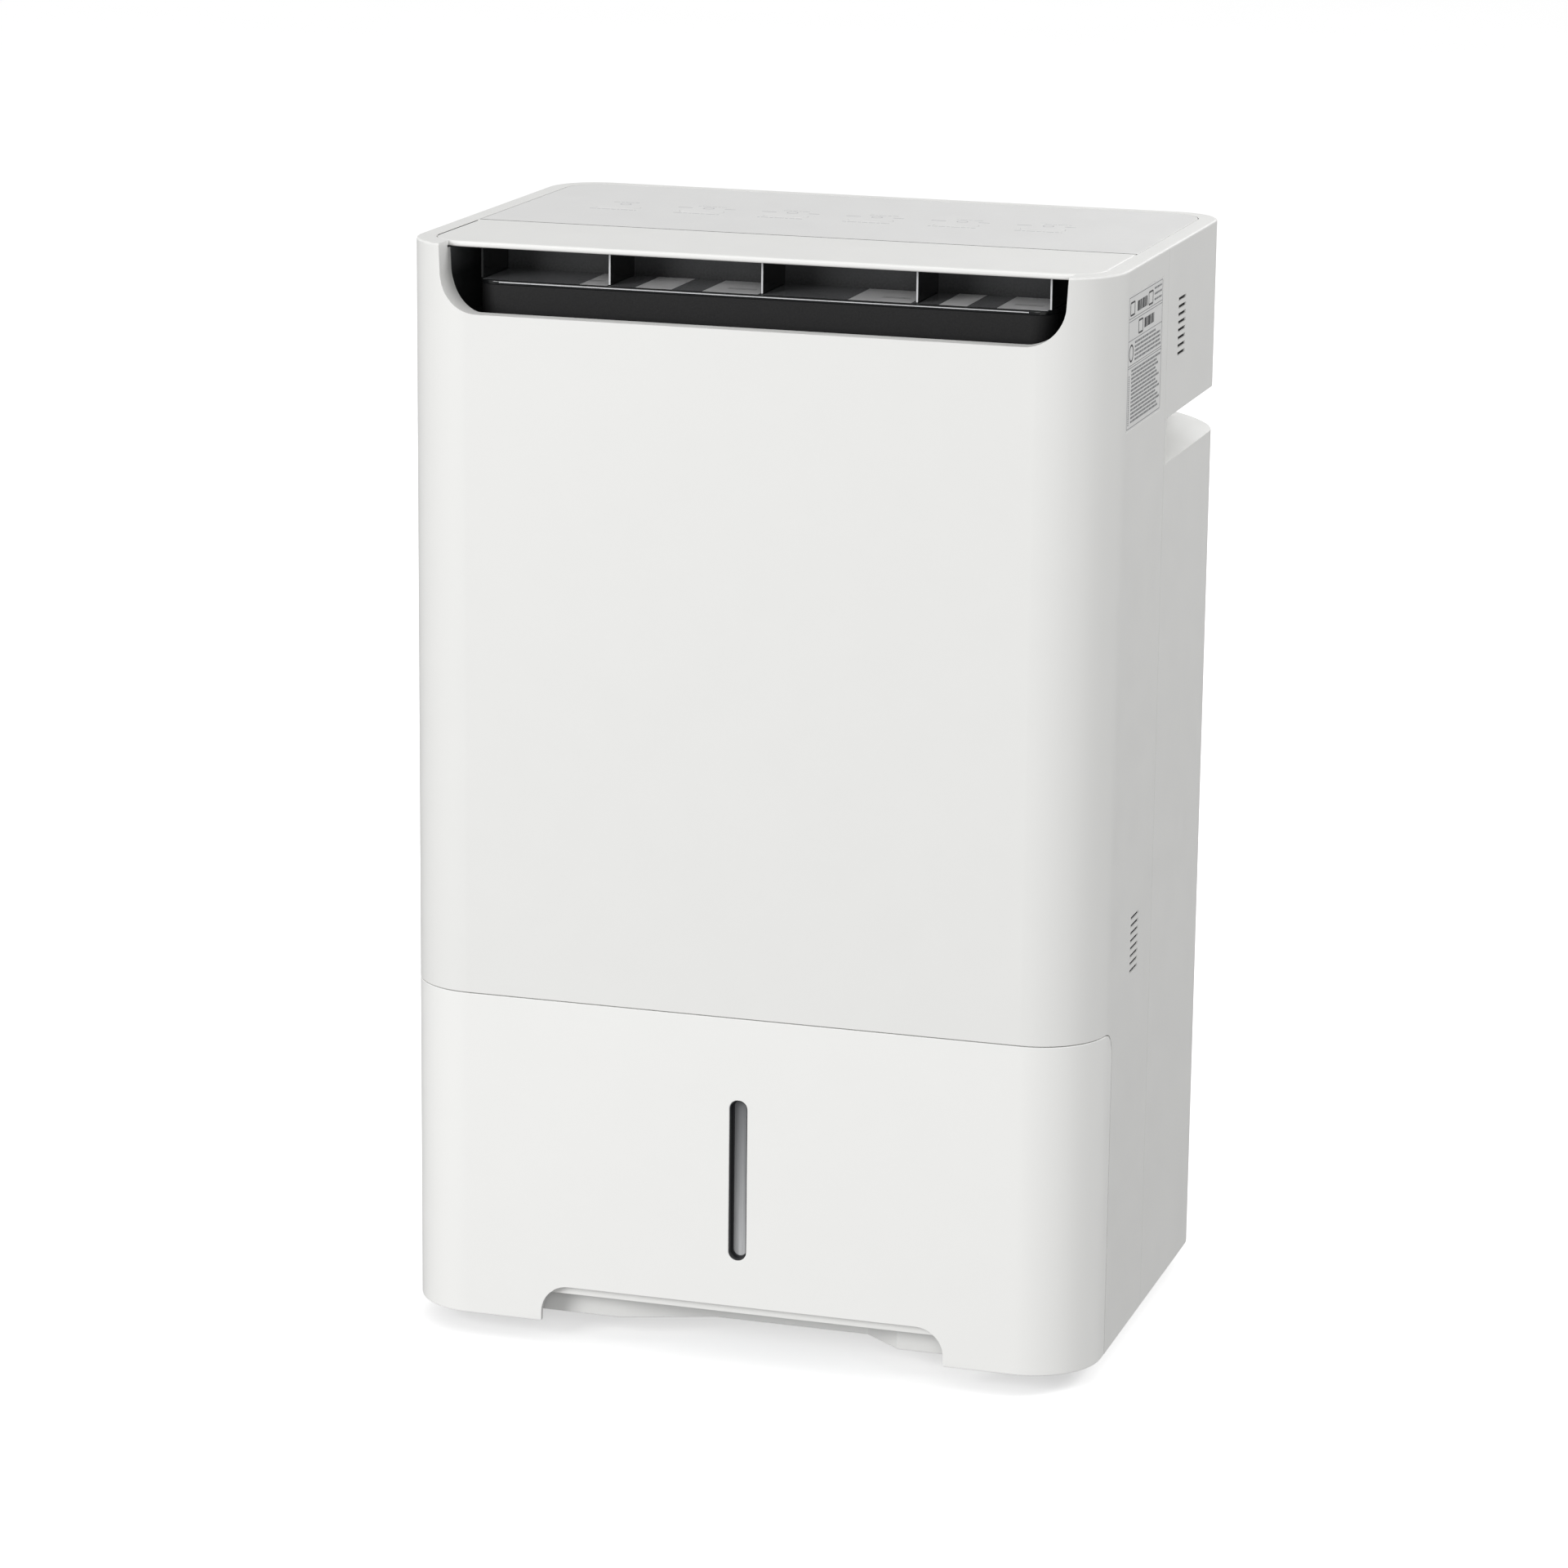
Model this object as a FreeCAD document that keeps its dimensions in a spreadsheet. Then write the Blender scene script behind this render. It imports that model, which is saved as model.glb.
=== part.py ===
import FreeCAD, Part
import math
import os
from types import SimpleNamespace

import Sketcher

# A free-standing compressor dehumidifier, as an assembly of separate sub-parts.
#
# Millimetres.  +Z is up, -Y is the front, +X is the right-hand side seen from the front.
# The origin is on the floor, at the middle of the footprint.

# Driving dimensions.  Heights named "_height" are above the cabinet's lower edge.
DRIVING = {
    # cabinet
    "body_width": 376.0,
    "body_depth": 264.0,
    "cabinet_height": 573.0,
    "foot_height": 12.0,
    "wall": 2.5,
    "front_corner": 37.5,
    "rear_corner": 28.0,
    "top_edge": 1.0,
    "side_seam_depth": 127.2,
    "seam_gap": 0.6,
    "half_gap": 0.2,
    # top panel and louver
    "rim_width": 9.8,
    "panel_corner": 20.0,
    "panel_gap": 0.5,
    "hinge_depth": 95.0,
    "barrel_radius": 3.0,
    "hinge_pin_radius": 1.2,
    "hinge_heel": 1.5,
    "hinge_sweep": 4.0,
    "flap_thickness": 3.0,
    "flap_front_depth": 16.5,
    "louver_depth": 24.0,
    "louver_half_width": 153.5,
    "louver_corner": 12.0,
    "blade_top_height": 552.7,
    "blade_thickness": 2.4,
    "rib_thickness": 1.6,
    "rib_pitch": 81.6,
    "rib_setback": 3.4,
    "louver_back_depth": 66.5,
    # air outlet
    "outlet_half_width": 164.0,
    "outlet_flare": 2.0,
    "outlet_height": 538.0,
    "outlet_corner": 21.0,
    "lip_depth": 9.0,
    "lip_side_depth": 20.0,
    "lip_thickness": 2.2,
    "duct_wall": 2.0,
    # water tank
    "tank_seam_height": 177.5,
    "tank_wrap": 45.4,
    "tank_seam_corner": 14.0,
    "window_width": 9.7,
    "window_low": 45.6,
    "window_high": 133.4,
    "window_recess": 5.6,
    "notch_left": 108.8,
    "notch_right": 112.6,
    "notch_height": 20.0,
    "notch_corner": 15.0,
    "apron_low": 14.5,
    "skirt_height": 13.0,
    "skirt_depth": 18.0,
    "skirt_recess": 35.0,
    "bucket_half_width": 166.0,
    "bucket_wall": 2.2,
    "bucket_back_depth": 144.0,
    "bucket_low": 15.0,
    "bucket_high": 168.0,
    # carrying handles, cut round both rear corners
    "handle_low": 459.5,
    "handle_high": 483.5,
    "handle_depth": 42.0,
    "handle_rise": 7.5,
    "handle_front_depth": 130.0,
    # side vents
    "vent_slot": 1.8,
    "vent_pitch": 4.1,
    "vent_length": 16.6,
    # control keys
    "key_row_depth": 169.0,
    "key_first": 125.0,
    "key_pitch": 47.0,
    "key_length": 24.0,
    "key_width": 10.0,
    "key_clearance": 0.3,
    "key_travel": 0.8,
    # air intake
    "intake_half_width": 132.0,
    "intake_low": 232.0,
    "intake_high": 531.0,
    "grille_rise": 8.0,
    "grille_margin": 7.0,
    "slat_pitch": 10.0,
    "slat_thickness": 2.6,
    # fan
    "fan_height": 383.0,
    "fan_radius": 84.0,
    "scroll_radius": 106.0,
    "scroll_front_depth": 24.0,
    "scroll_back_depth": 92.0,
    "shaft_radius": 3.0,
    "running_clearance": 0.05,
    # refrigeration
    "coil_half_width": 138.0,
    "coil_low": 242.0,
    "coil_high": 518.0,
    "coil_thickness": 22.0,
    "fin_pitch": 8.0,
    "fin_thickness": 0.8,
    "tube_radius": 4.0,
    "compressor_radius": 50.0,
    "compressor_tall": 185.0,
    # feet and fasteners
    "foot_radius": 14.0,
    "screw_head_radius": 3.5,
    "screw_radius": 1.6,
}

# Control keys from left to right, seen from the front.
KEYS = ("power", "mode", "laundry", "airflow", "louver", "timer")
VENT_SLOTS = 8

doc = FreeCAD.newDocument("dehumidifier")
NODES = []


class Length:
    """A size that keeps its formula in the sheet beside its number."""

    def __init__(self, formula, number):
        self.formula = formula
        self.number = number

    def joined(self, sign, other, number):
        return Length(f"({self.formula} {sign} {other.formula})", number)

    def __add__(self, other):
        other = as_length(other)
        return self.joined("+", other, self.number + other.number)

    def __sub__(self, other):
        other = as_length(other)
        return self.joined("-", other, self.number - other.number)

    def __mul__(self, other):
        other = as_length(other)
        return self.joined("*", other, self.number * other.number)

    def __truediv__(self, other):
        other = as_length(other)
        return self.joined("/", other, self.number / other.number)

    def __rsub__(self, other):
        return as_length(other) - self

    def __neg__(self):
        return Length(f"(0 - {self.formula})", -self.number)

    __radd__ = __add__
    __rmul__ = __mul__


def as_length(amount):
    """Give a plain number the form of a Length."""
    if isinstance(amount, Length):
        return amount
    return Length(f"({float(amount)!r})", float(amount))


def make_sheet():
    """Write the driving dimensions into the document's sheet, one alias a row."""
    sheet = doc.addObject("Spreadsheet::Sheet", "Sizes")
    for row, (name, number) in enumerate(DRIVING.items(), start=1):
        sheet.set(f"A{row}", name)
        sheet.set(f"B{row}", str(number))
        sheet.setAlias(f"B{row}", name)
    doc.recompute()
    sizes = {name: Length(f"Sizes.{name}", number) for name, number in DRIVING.items()}
    return SimpleNamespace(**sizes)


D = make_sheet()

# Planes that most sub-parts are placed from.
side = D.body_width / 2
front = -(D.body_depth + D.grille_rise) / 2
back = front + D.body_depth
floor_edge = D.foot_height
top = D.foot_height + D.cabinet_height
inner_side = side - D.wall
inner_front = front + D.wall
inner_back = back - D.wall
side_seam = front + D.side_seam_depth
panel_half = side - D.rim_width
panel_back = back - D.rim_width + 1.5
hinge_y = front + D.hinge_depth
hinge_z = top - D.barrel_radius
louver_front = front + D.louver_depth
louver_back = front + D.louver_back_depth
blade_top = floor_edge + D.blade_top_height
blade_bottom = blade_top - D.blade_thickness
outlet_low = floor_edge + D.outlet_height
tank_top = floor_edge + D.tank_seam_height
tank_wrap_y = front + D.tank_wrap
fan_z = floor_edge + D.fan_height


# ---- helpers ---------------------------------------------------------------------------------

def bind(item, **properties):
    """Bind properties to formulas; two underscores in a name stand for a dot."""
    for name, amount in properties.items():
        item.setExpression(name.replace("__", "."), as_length(amount).formula)


def place(item, x, y, z):
    """Bind an object's position."""
    bind(item, Placement__Base__x=x, Placement__Base__y=y, Placement__Base__z=z)


def block(name, x, y, z):
    """A box between two limits on each axis."""
    item = doc.addObject("Part::Box", name)
    bind(item, Length=x[1] - x[0], Width=y[1] - y[0], Height=z[1] - z[0])
    place(item, x[0], y[0], z[0])
    return item


TURNS = {
    "x": FreeCAD.Rotation(FreeCAD.Vector(0, 1, 0), 90),
    "y": FreeCAD.Rotation(FreeCAD.Vector(1, 0, 0), -90),
    "z": FreeCAD.Rotation(),
}


def cylinder(name, radius, axis, centre, span):
    """A cylinder along an axis; centre gives its other two coordinates in X, Y, Z order."""
    item = doc.addObject("Part::Cylinder", name)
    item.Placement = FreeCAD.Placement(FreeCAD.Vector(), TURNS[axis])
    bind(item, Radius=radius, Height=span[1] - span[0])
    start = {
        "x": (span[0], centre[0], centre[1]),
        "y": (centre[0], span[0], centre[1]),
        "z": (centre[0], centre[1], span[0]),
    }[axis]
    place(item, *start)
    return item


def body_on(name, plane, offset):
    """A body with an empty sketch on one of its origin planes, moved along the plane's normal."""
    body = doc.addObject("PartDesign::Body", name)
    sketch = body.newObject("Sketcher::SketchObject", f"{name}_sketch")
    support = next(item for item in body.Origin.OriginFeatures if item.Role == plane)
    sketch.AttachmentSupport = (support, [""])
    sketch.MapMode = "FlatFace"
    bind(sketch, AttachmentOffset__Base__z=offset)
    return body, sketch


def pad(body, sketch, length):
    """Pad a sketch along its plane's normal."""
    feature = body.newObject("PartDesign::Pad", f"{body.Name}_pad")
    feature.Profile = sketch
    bind(feature, Length=length)
    sketch.Visibility = False
    return body


def pin_point(sketch, geometry, point, across=None, along=None):
    """Hold a point of a sketch at a distance from the sketch's origin."""
    for kind, amount in (("DistanceX", across), ("DistanceY", along)):
        if amount is None:
            continue
        index = sketch.addConstraint(Sketcher.Constraint(kind, -1, 1, geometry, point, amount.number))
        sketch.setExpression(f"Constraints[{index}]", amount.formula)


def draw_polygon(sketch, corners):
    """Draw a closed polygon whose every corner is dimensioned from the origin."""
    corners = [(as_length(across), as_length(along)) for across, along in corners]
    points = [FreeCAD.Vector(across.number, along.number, 0) for across, along in corners]
    count = len(points)
    for index in range(count):
        sketch.addGeometry(Part.LineSegment(points[index], points[(index + 1) % count]), False)
    for index in range(count):
        sketch.addConstraint(Sketcher.Constraint("Coincident", index, 2, (index + 1) % count, 1))
    for index, (across, along) in enumerate(corners):
        pin_point(sketch, index, 1, across, along)


def draw_rounded(sketch, across, along, low_radius=None, high_radius=None):
    """Draw a rectangle whose low and high pairs of corners may each be rounded."""
    x0, x1 = (as_length(limit) for limit in across)
    y0, y1 = (as_length(limit) for limit in along)
    low = low_radius.number if low_radius else 0.0
    high = high_radius.number if high_radius else 0.0
    corners = (
        (x1.number, y0.number, low, -90),
        (x1.number, y1.number, high, 0),
        (x0.number, y1.number, high, 90),
        (x0.number, y0.number, low, 180),
    )

    def centre_of(corner):
        inward_x = -1 if corner[0] == x1.number else 1
        inward_y = -1 if corner[1] == y1.number else 1
        return FreeCAD.Vector(corner[0] + inward_x * corner[2], corner[1] + inward_y * corner[2], 0)

    def ends_of(corner):
        centre = centre_of(corner)
        start = math.radians(corner[3])
        finish = start + math.pi / 2
        radius = corner[2]
        return [
            centre + FreeCAD.Vector(radius * math.cos(angle), radius * math.sin(angle), 0)
            for angle in (start, finish)
        ]

    sides = []
    for index in range(4):
        start = ends_of(corners[index - 1])[1]
        finish = ends_of(corners[index])[0]
        sides.append(sketch.addGeometry(Part.LineSegment(start, finish), False))
    arcs = []
    for index, corner in enumerate(corners):
        following = sides[(index + 1) % 4]
        if not corner[2]:
            sketch.addConstraint(Sketcher.Constraint("Coincident", sides[index], 2, following, 1))
            continue
        circle = Part.Circle(centre_of(corner), FreeCAD.Vector(0, 0, 1), corner[2])
        start = math.radians(corner[3])
        arc = sketch.addGeometry(Part.ArcOfCircle(circle, start, start + math.pi / 2), False)
        sketch.addConstraint(Sketcher.Constraint("Tangent", sides[index], 2, arc, 1))
        sketch.addConstraint(Sketcher.Constraint("Tangent", arc, 2, following, 1))
        arcs.append((arc, low_radius if index in (0, 3) else high_radius))
    for index in (0, 2):
        sketch.addConstraint(Sketcher.Constraint("Horizontal", sides[index]))
        sketch.addConstraint(Sketcher.Constraint("Vertical", sides[index + 1]))
    pin_point(sketch, sides[0], 1, along=y0)
    pin_point(sketch, sides[2], 1, along=y1)
    pin_point(sketch, sides[1], 1, across=x1)
    pin_point(sketch, sides[3], 1, across=x0)
    for arc, radius in arcs:
        index = sketch.addConstraint(Sketcher.Constraint("Radius", arc, radius.number))
        sketch.setExpression(f"Constraints[{index}]", radius.formula)


def plate(name, x, y, z, front_radius=None, rear_radius=None):
    """An upright prism over a rectangle whose front and rear corners may be rounded."""
    body, sketch = body_on(name, "XY_Plane", z[0])
    draw_rounded(sketch, x, y, front_radius, rear_radius)
    return pad(body, sketch, z[1] - z[0])


def rounded_along_y(name, x, y, z, low_radius=None, high_radius=None):
    """A prism along Y over a rectangle whose lower and upper corners may be rounded."""
    body, sketch = body_on(name, "XZ_Plane", -y[1])
    draw_rounded(sketch, x, z, low_radius, high_radius)
    return pad(body, sketch, y[1] - y[0])


def prism_x(name, corners, x):
    """A prism along X over a polygon of (y, z) corners."""
    body, sketch = body_on(name, "YZ_Plane", x[0])
    draw_polygon(sketch, corners)
    return pad(body, sketch, x[1] - x[0])


def prism_y(name, corners, y):
    """A prism along Y over a polygon of (x, z) corners."""
    body, sketch = body_on(name, "XZ_Plane", -y[1])
    draw_polygon(sketch, corners)
    return pad(body, sketch, y[1] - y[0])


def prism_z(name, corners, z):
    """An upright prism over a polygon of (x, y) corners."""
    body, sketch = body_on(name, "XY_Plane", z[0])
    draw_polygon(sketch, corners)
    return pad(body, sketch, z[1] - z[0])


def round_edges(body, radius, chosen):
    """Fillet the edges of a body that a test picks by their middle point and direction."""
    doc.recompute()
    tip = body.Tip
    names = []
    for index, edge in enumerate(tip.Shape.Edges, start=1):
        middle = edge.valueAt((edge.FirstParameter + edge.LastParameter) / 2)
        tangent = edge.tangentAt((edge.FirstParameter + edge.LastParameter) / 2)
        if chosen(middle, tangent):
            names.append(f"Edge{index}")
    feature = body.newObject("PartDesign::Fillet", f"{body.Name}_fillet")
    feature.Base = (tip, names)
    bind(feature, Radius=radius)
    body.Tip = feature
    return body


def near(value, target):
    """Whether two lengths are the same within the modeller's own tolerance."""
    return abs(value - as_length(target).number) < 0.01


def fuse(name, parts):
    """One shape out of several."""
    item = doc.addObject("Part::MultiFuse", name)
    item.Shapes = list(parts)
    return item


def cut(name, base, *tools):
    """A shape less other shapes."""
    item = doc.addObject("Part::Cut", name)
    item.Base = base
    item.Tool = tools[0] if len(tools) == 1 else fuse(f"{name}_tools", tools)
    return item


def shared(name, *parts):
    """What several shapes have in common."""
    item = doc.addObject("Part::MultiCommon", name)
    item.Shapes = list(parts)
    return item


def group(name, parts):
    """Several separate solids kept as one sub-part."""
    item = doc.addObject("Part::Compound", name)
    item.Links = list(parts)
    return item


def mirrored(name, source):
    """The mirror image of a shape across the middle plane."""
    item = doc.addObject("Part::Mirroring", name)
    item.Source = source
    item.Normal = FreeCAD.Vector(1, 0, 0)
    return item


def ring(name, outer, inner, axis, centre, span):
    """A round tube."""
    return cut(
        name,
        cylinder(f"{name}_outer", outer, axis, centre, span),
        cylinder(f"{name}_inner", inner, axis, centre, (span[0] - 1, span[1] + 1)),
    )


def sub_part(label, item):
    """Make an object one of the assembly's named sub-parts."""
    item.Label = label
    NODES.append(item)
    return item


# ---- cabinet ---------------------------------------------------------------------------------

def cabinet_solid(name):
    """The whole cabinet as one rounded block, with a soft top edge."""
    body = plate(name, (-side, side), (front, back), (floor_edge, top), D.front_corner, D.rear_corner)
    return round_edges(body, D.top_edge, lambda middle, tangent: near(middle.z, top))


def cabinet_skin(name):
    """The cabinet's wall all round, with the opening for the top panel and the louver."""
    hollow = plate(
        f"{name}_hollow",
        (-inner_side, inner_side),
        (inner_front, inner_back),
        (floor_edge - 5, top - D.wall),
        D.front_corner - D.wall,
        D.rear_corner - D.wall,
    )
    opening = plate(
        f"{name}_opening",
        (-panel_half, panel_half),
        (flap_front_edge() - D.panel_gap, panel_back),
        (top - 6, top + 5),
        D.panel_corner + D.panel_gap,
        D.panel_corner,
    )
    return cut(name, cabinet_solid(f"{name}_block"), hollow, opening)


def flap_front_edge():
    """Where the louver's top flap ends at the front."""
    return front + D.flap_front_depth


def tank_bay(name, gap):
    """The space at the lower front that the tank's cover fills, larger by a gap."""
    body = prism_x(
        name,
        (
            (front - 20, floor_edge - 20),
            (tank_wrap_y + gap, floor_edge - 20),
            (tank_wrap_y + gap, tank_top + gap),
            (front - 20, tank_top + gap),
        ),
        (-side - 20, side + 20),
    )
    corner = (tank_wrap_y + gap, tank_top + gap)
    return round_edges(
        body,
        D.tank_seam_corner + gap,
        lambda middle, tangent: near(middle.y, corner[0]) and near(middle.z, corner[1]),
    )


def outlet_hole(name, grow, y):
    """The air outlet's outline, wider by an amount, as a prism along Y."""
    low = outlet_low - grow
    foot = D.outlet_half_width + grow
    head = foot + D.outlet_flare
    body = prism_y(name, ((-foot, low), (foot, low), (head, top + 5), (-head, top + 5)), y)
    return round_edges(
        body,
        D.outlet_corner + grow,
        lambda middle, tangent: near(middle.z, low) and abs(tangent.y) > 0.9,
    )


def vent_slots(name, y_start, z_start, from_side, to_side):
    """A short column of level slots through a side wall."""
    slots = []
    for index in range(VENT_SLOTS):
        low = z_start + index * D.vent_pitch
        slots.append(
            block(
                f"{name}_{index + 1}",
                (from_side, to_side),
                (y_start, y_start + D.vent_length),
                (low, low + D.vent_slot),
            )
        )
    return slots


def label_pocket(name):
    """The shallow flat on the right side that the information label lies in."""
    return block(
        name,
        (side - 0.2, side + 1),
        (front + 39.4, front + 115.0),
        (floor_edge + 490.7, floor_edge + 560.1),
    )


def outlet_lip_ring():
    """A band round the outlet, as deep as the lip's sides, that stops under the louver's flap."""
    under_flap = block(
        "outlet_lip_flap_room",
        (-side, side),
        (flap_front_edge() - D.panel_gap, front + D.lip_side_depth + 5),
        (top - D.flap_thickness - 0.8, top + 5),
    )
    return cut(
        "outlet_lip_ring",
        outlet_hole("outlet_lip_outer", D.lip_thickness, (front + 1, front + D.lip_side_depth)),
        outlet_hole("outlet_lip_inner", as_length(0), (front - 5, front + D.lip_side_depth + 5)),
        under_flap,
    )


def outlet_lip_reach():
    """How far back the outlet's lip runs: shallow under the outlet, deep at both sides."""
    shallow = front + D.lip_depth
    deep = front + D.lip_side_depth
    near_middle = D.outlet_half_width - 18
    outer = side + 5
    return prism_z(
        "outlet_lip_reach",
        (
            (-outer, front - 5),
            (outer, front - 5),
            (outer, deep),
            (D.outlet_half_width, deep),
            (near_middle, shallow),
            (-near_middle, shallow),
            (-D.outlet_half_width, deep),
            (-outer, deep),
        ),
        (outlet_low - 10, top),
    )


def make_front_panel():
    """The front half of the cabinet: face, front corners, outlet lip and lower side walls."""
    skin = cabinet_skin("front_skin")
    half = block(
        "front_half",
        (-side - 5, side + 5),
        (front - 5, side_seam - D.half_gap / 2),
        (floor_edge - 5, top + 5),
    )
    lip = shared("outlet_lip", outlet_lip_ring(), outlet_lip_reach(), cabinet_solid("lip_limit"))
    bosses = [
        block(
            f"hinge_boss_{hand}",
            (inward, outward),
            (hinge_y - 6, hinge_y + 6),
            (top - 12, top - D.wall),
        )
        for hand, inward, outward in (
            ("right", panel_half + 1, inner_side),
            ("left", -inner_side, -panel_half - 1),
        )
    ]
    bearings = [
        cylinder(
            f"hinge_bearing_{hand}",
            D.hinge_pin_radius + D.running_clearance,
            "x",
            (hinge_y, hinge_z),
            (inward, outward),
        )
        for hand, inward, outward in (
            ("right", panel_half - 1, panel_half + 5),
            ("left", -panel_half - 5, -panel_half + 1),
        )
    ]
    vents = []
    for hand, inner, outer in (("right", inner_side - 2, side + 2), ("left", -side - 2, -inner_side + 2)):
        vents += vent_slots(f"low_vent_{hand}", front + 80.7, floor_edge + 198.0, inner, outer)
    shell = fuse("front_shell", [shared("front_walls", skin, half), lip] + bosses)
    return sub_part(
        "front_panel",
        cut(
            "front_panel",
            shell,
            outlet_hole("outlet_cut", as_length(0), (front - 5, front + 36)),
            tank_bay("tank_bay_cut", D.seam_gap),
            label_pocket("label_flat"),
            *bearings,
            *vents,
        ),
    )


def handle_wedge(name, grow):
    """The right-hand grip recess: level ceiling, floor that rises inwards, open at the rear."""
    low = floor_edge + D.handle_low
    high = floor_edge + D.handle_high + grow
    inner = side - D.handle_depth - grow
    outer = side + 5
    rise = D.handle_rise
    slope = rise / D.handle_depth
    body = prism_y(
        name,
        (
            (inner, low + rise - grow),
            (outer, low - slope * 5 - grow),
            (outer, high),
            (inner, high),
        ),
        (front + D.handle_front_depth - grow, back + 5),
    )
    return round_edges(
        body,
        as_length(6),
        lambda middle, tangent: near(middle.x, inner) and abs(tangent.z) < 0.5 and abs(tangent.y) > 0.9,
    )


def intake_hole(name, grow, y):
    """The air intake's outline in the back wall."""
    return rounded_along_y(
        name,
        (-D.intake_half_width - grow, D.intake_half_width + grow),
        y,
        (floor_edge + D.intake_low - grow, floor_edge + D.intake_high + grow),
        as_length(8),
        as_length(8),
    )


def screw_places():
    """The cabinet screws' places on the back wall, as (x, z)."""
    places = []
    for hand in (-1, 1):
        for rise in (30.0, 190.0, 440.0, 552.0):
            places.append((hand * (side - 36), floor_edge + rise))
    return places


def make_rear_cabinet():
    """The rear half of the cabinet, with both grip recesses and the air intake."""
    skin = cabinet_skin("rear_skin")
    half = block(
        "rear_half",
        (-side - 5, side + 5),
        (side_seam + D.half_gap / 2, back + 5),
        (floor_edge - 5, top + 5),
    )
    right_pocket = shared(
        "pocket_right",
        handle_wedge("pocket_right_outer", D.wall),
        cabinet_solid("pocket_limit"),
        half,
    )
    left_pocket = mirrored("pocket_left", right_pocket)
    grip_right = handle_wedge("grip_right", as_length(0))
    grip_left = mirrored("grip_left", grip_right)
    vents = []
    for hand, inner, outer in (("right", inner_side - 2, side + 2), ("left", -side - 2, -inner_side + 2)):
        vents += vent_slots(f"high_vent_{hand}", front + 151.9, floor_edge + 513.0, inner, outer)
    holes = [
        cylinder(f"screw_hole_{index}", D.screw_radius, "y", spot, (back - 8, back + 2))
        for index, spot in enumerate(screw_places(), start=1)
    ]
    gland_spot = (side - 60, floor_edge + 40)
    gland_hole = cylinder("gland_hole", as_length(7), "y", gland_spot, (back - 8, back + 2))
    shell = fuse("rear_shell", [shared("rear_walls", skin, half), right_pocket, left_pocket])
    return sub_part(
        "rear_cabinet",
        cut(
            "rear_cabinet",
            shell,
            grip_right,
            grip_left,
            intake_hole("intake_cut", as_length(0), (back - 10, back + 5)),
            gland_hole,
            *vents,
            *holes,
        ),
    )


def make_cabinet_screws():
    """The pan-head screws that hold the rear half."""
    screws = []
    for index, spot in enumerate(screw_places(), start=1):
        head = cylinder(f"screw_head_{index}", D.screw_head_radius, "y", spot, (back, back + 1.8))
        shank = cylinder(f"screw_shank_{index}", D.screw_radius, "y", spot, (back - 9, back + 0.5))
        slot = block(
            f"screw_slot_{index}",
            (spot[0] - 2.2, spot[0] + 2.2),
            (back + 1.0, back + 3),
            (spot[1] - 0.4, spot[1] + 0.4),
        )
        cross = block(
            f"screw_cross_{index}",
            (spot[0] - 0.4, spot[0] + 0.4),
            (back + 1.0, back + 3),
            (spot[1] - 2.2, spot[1] + 2.2),
        )
        screws.append(cut(f"screw_{index}", fuse(f"screw_blank_{index}", [head, shank]), slot, cross))
    return sub_part("cabinet_screws", group("cabinet_screws", screws))


def make_information_label():
    """The plain information label on the right side, flush in its flat."""
    return sub_part(
        "information_label",
        block(
            "information_label",
            (side - 0.2, side),
            (front + 39.7, front + 114.7),
            (floor_edge + 491.0, floor_edge + 559.8),
        ),
    )


def make_cord_gland():
    """The gland in the back wall that a supply cord would enter by."""
    centre = (side - 60, floor_edge + 40)
    flange = cylinder("gland_flange", as_length(11), "y", centre, (back, back + 3))
    sleeve = cylinder("gland_sleeve", as_length(7), "y", centre, (back - 8, back + 6))
    bore = cylinder("gland_bore", as_length(4), "y", centre, (back - 10, back + 8))
    return sub_part("cord_gland", cut("cord_gland", fuse("gland_blank", [flange, sleeve]), bore))


# ---- base ------------------------------------------------------------------------------------

def skirt_line(depth):
    """The base's front edge in plan, with its finger recess, at an extra depth."""
    outer = front + D.skirt_depth + depth
    inner = front + D.skirt_recess + depth
    return (
        (as_length(-160), outer),
        (as_length(-71), outer),
        (as_length(-23), inner),
        (as_length(62), inner),
        (as_length(83), outer),
        (as_length(160), outer),
    )


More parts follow.
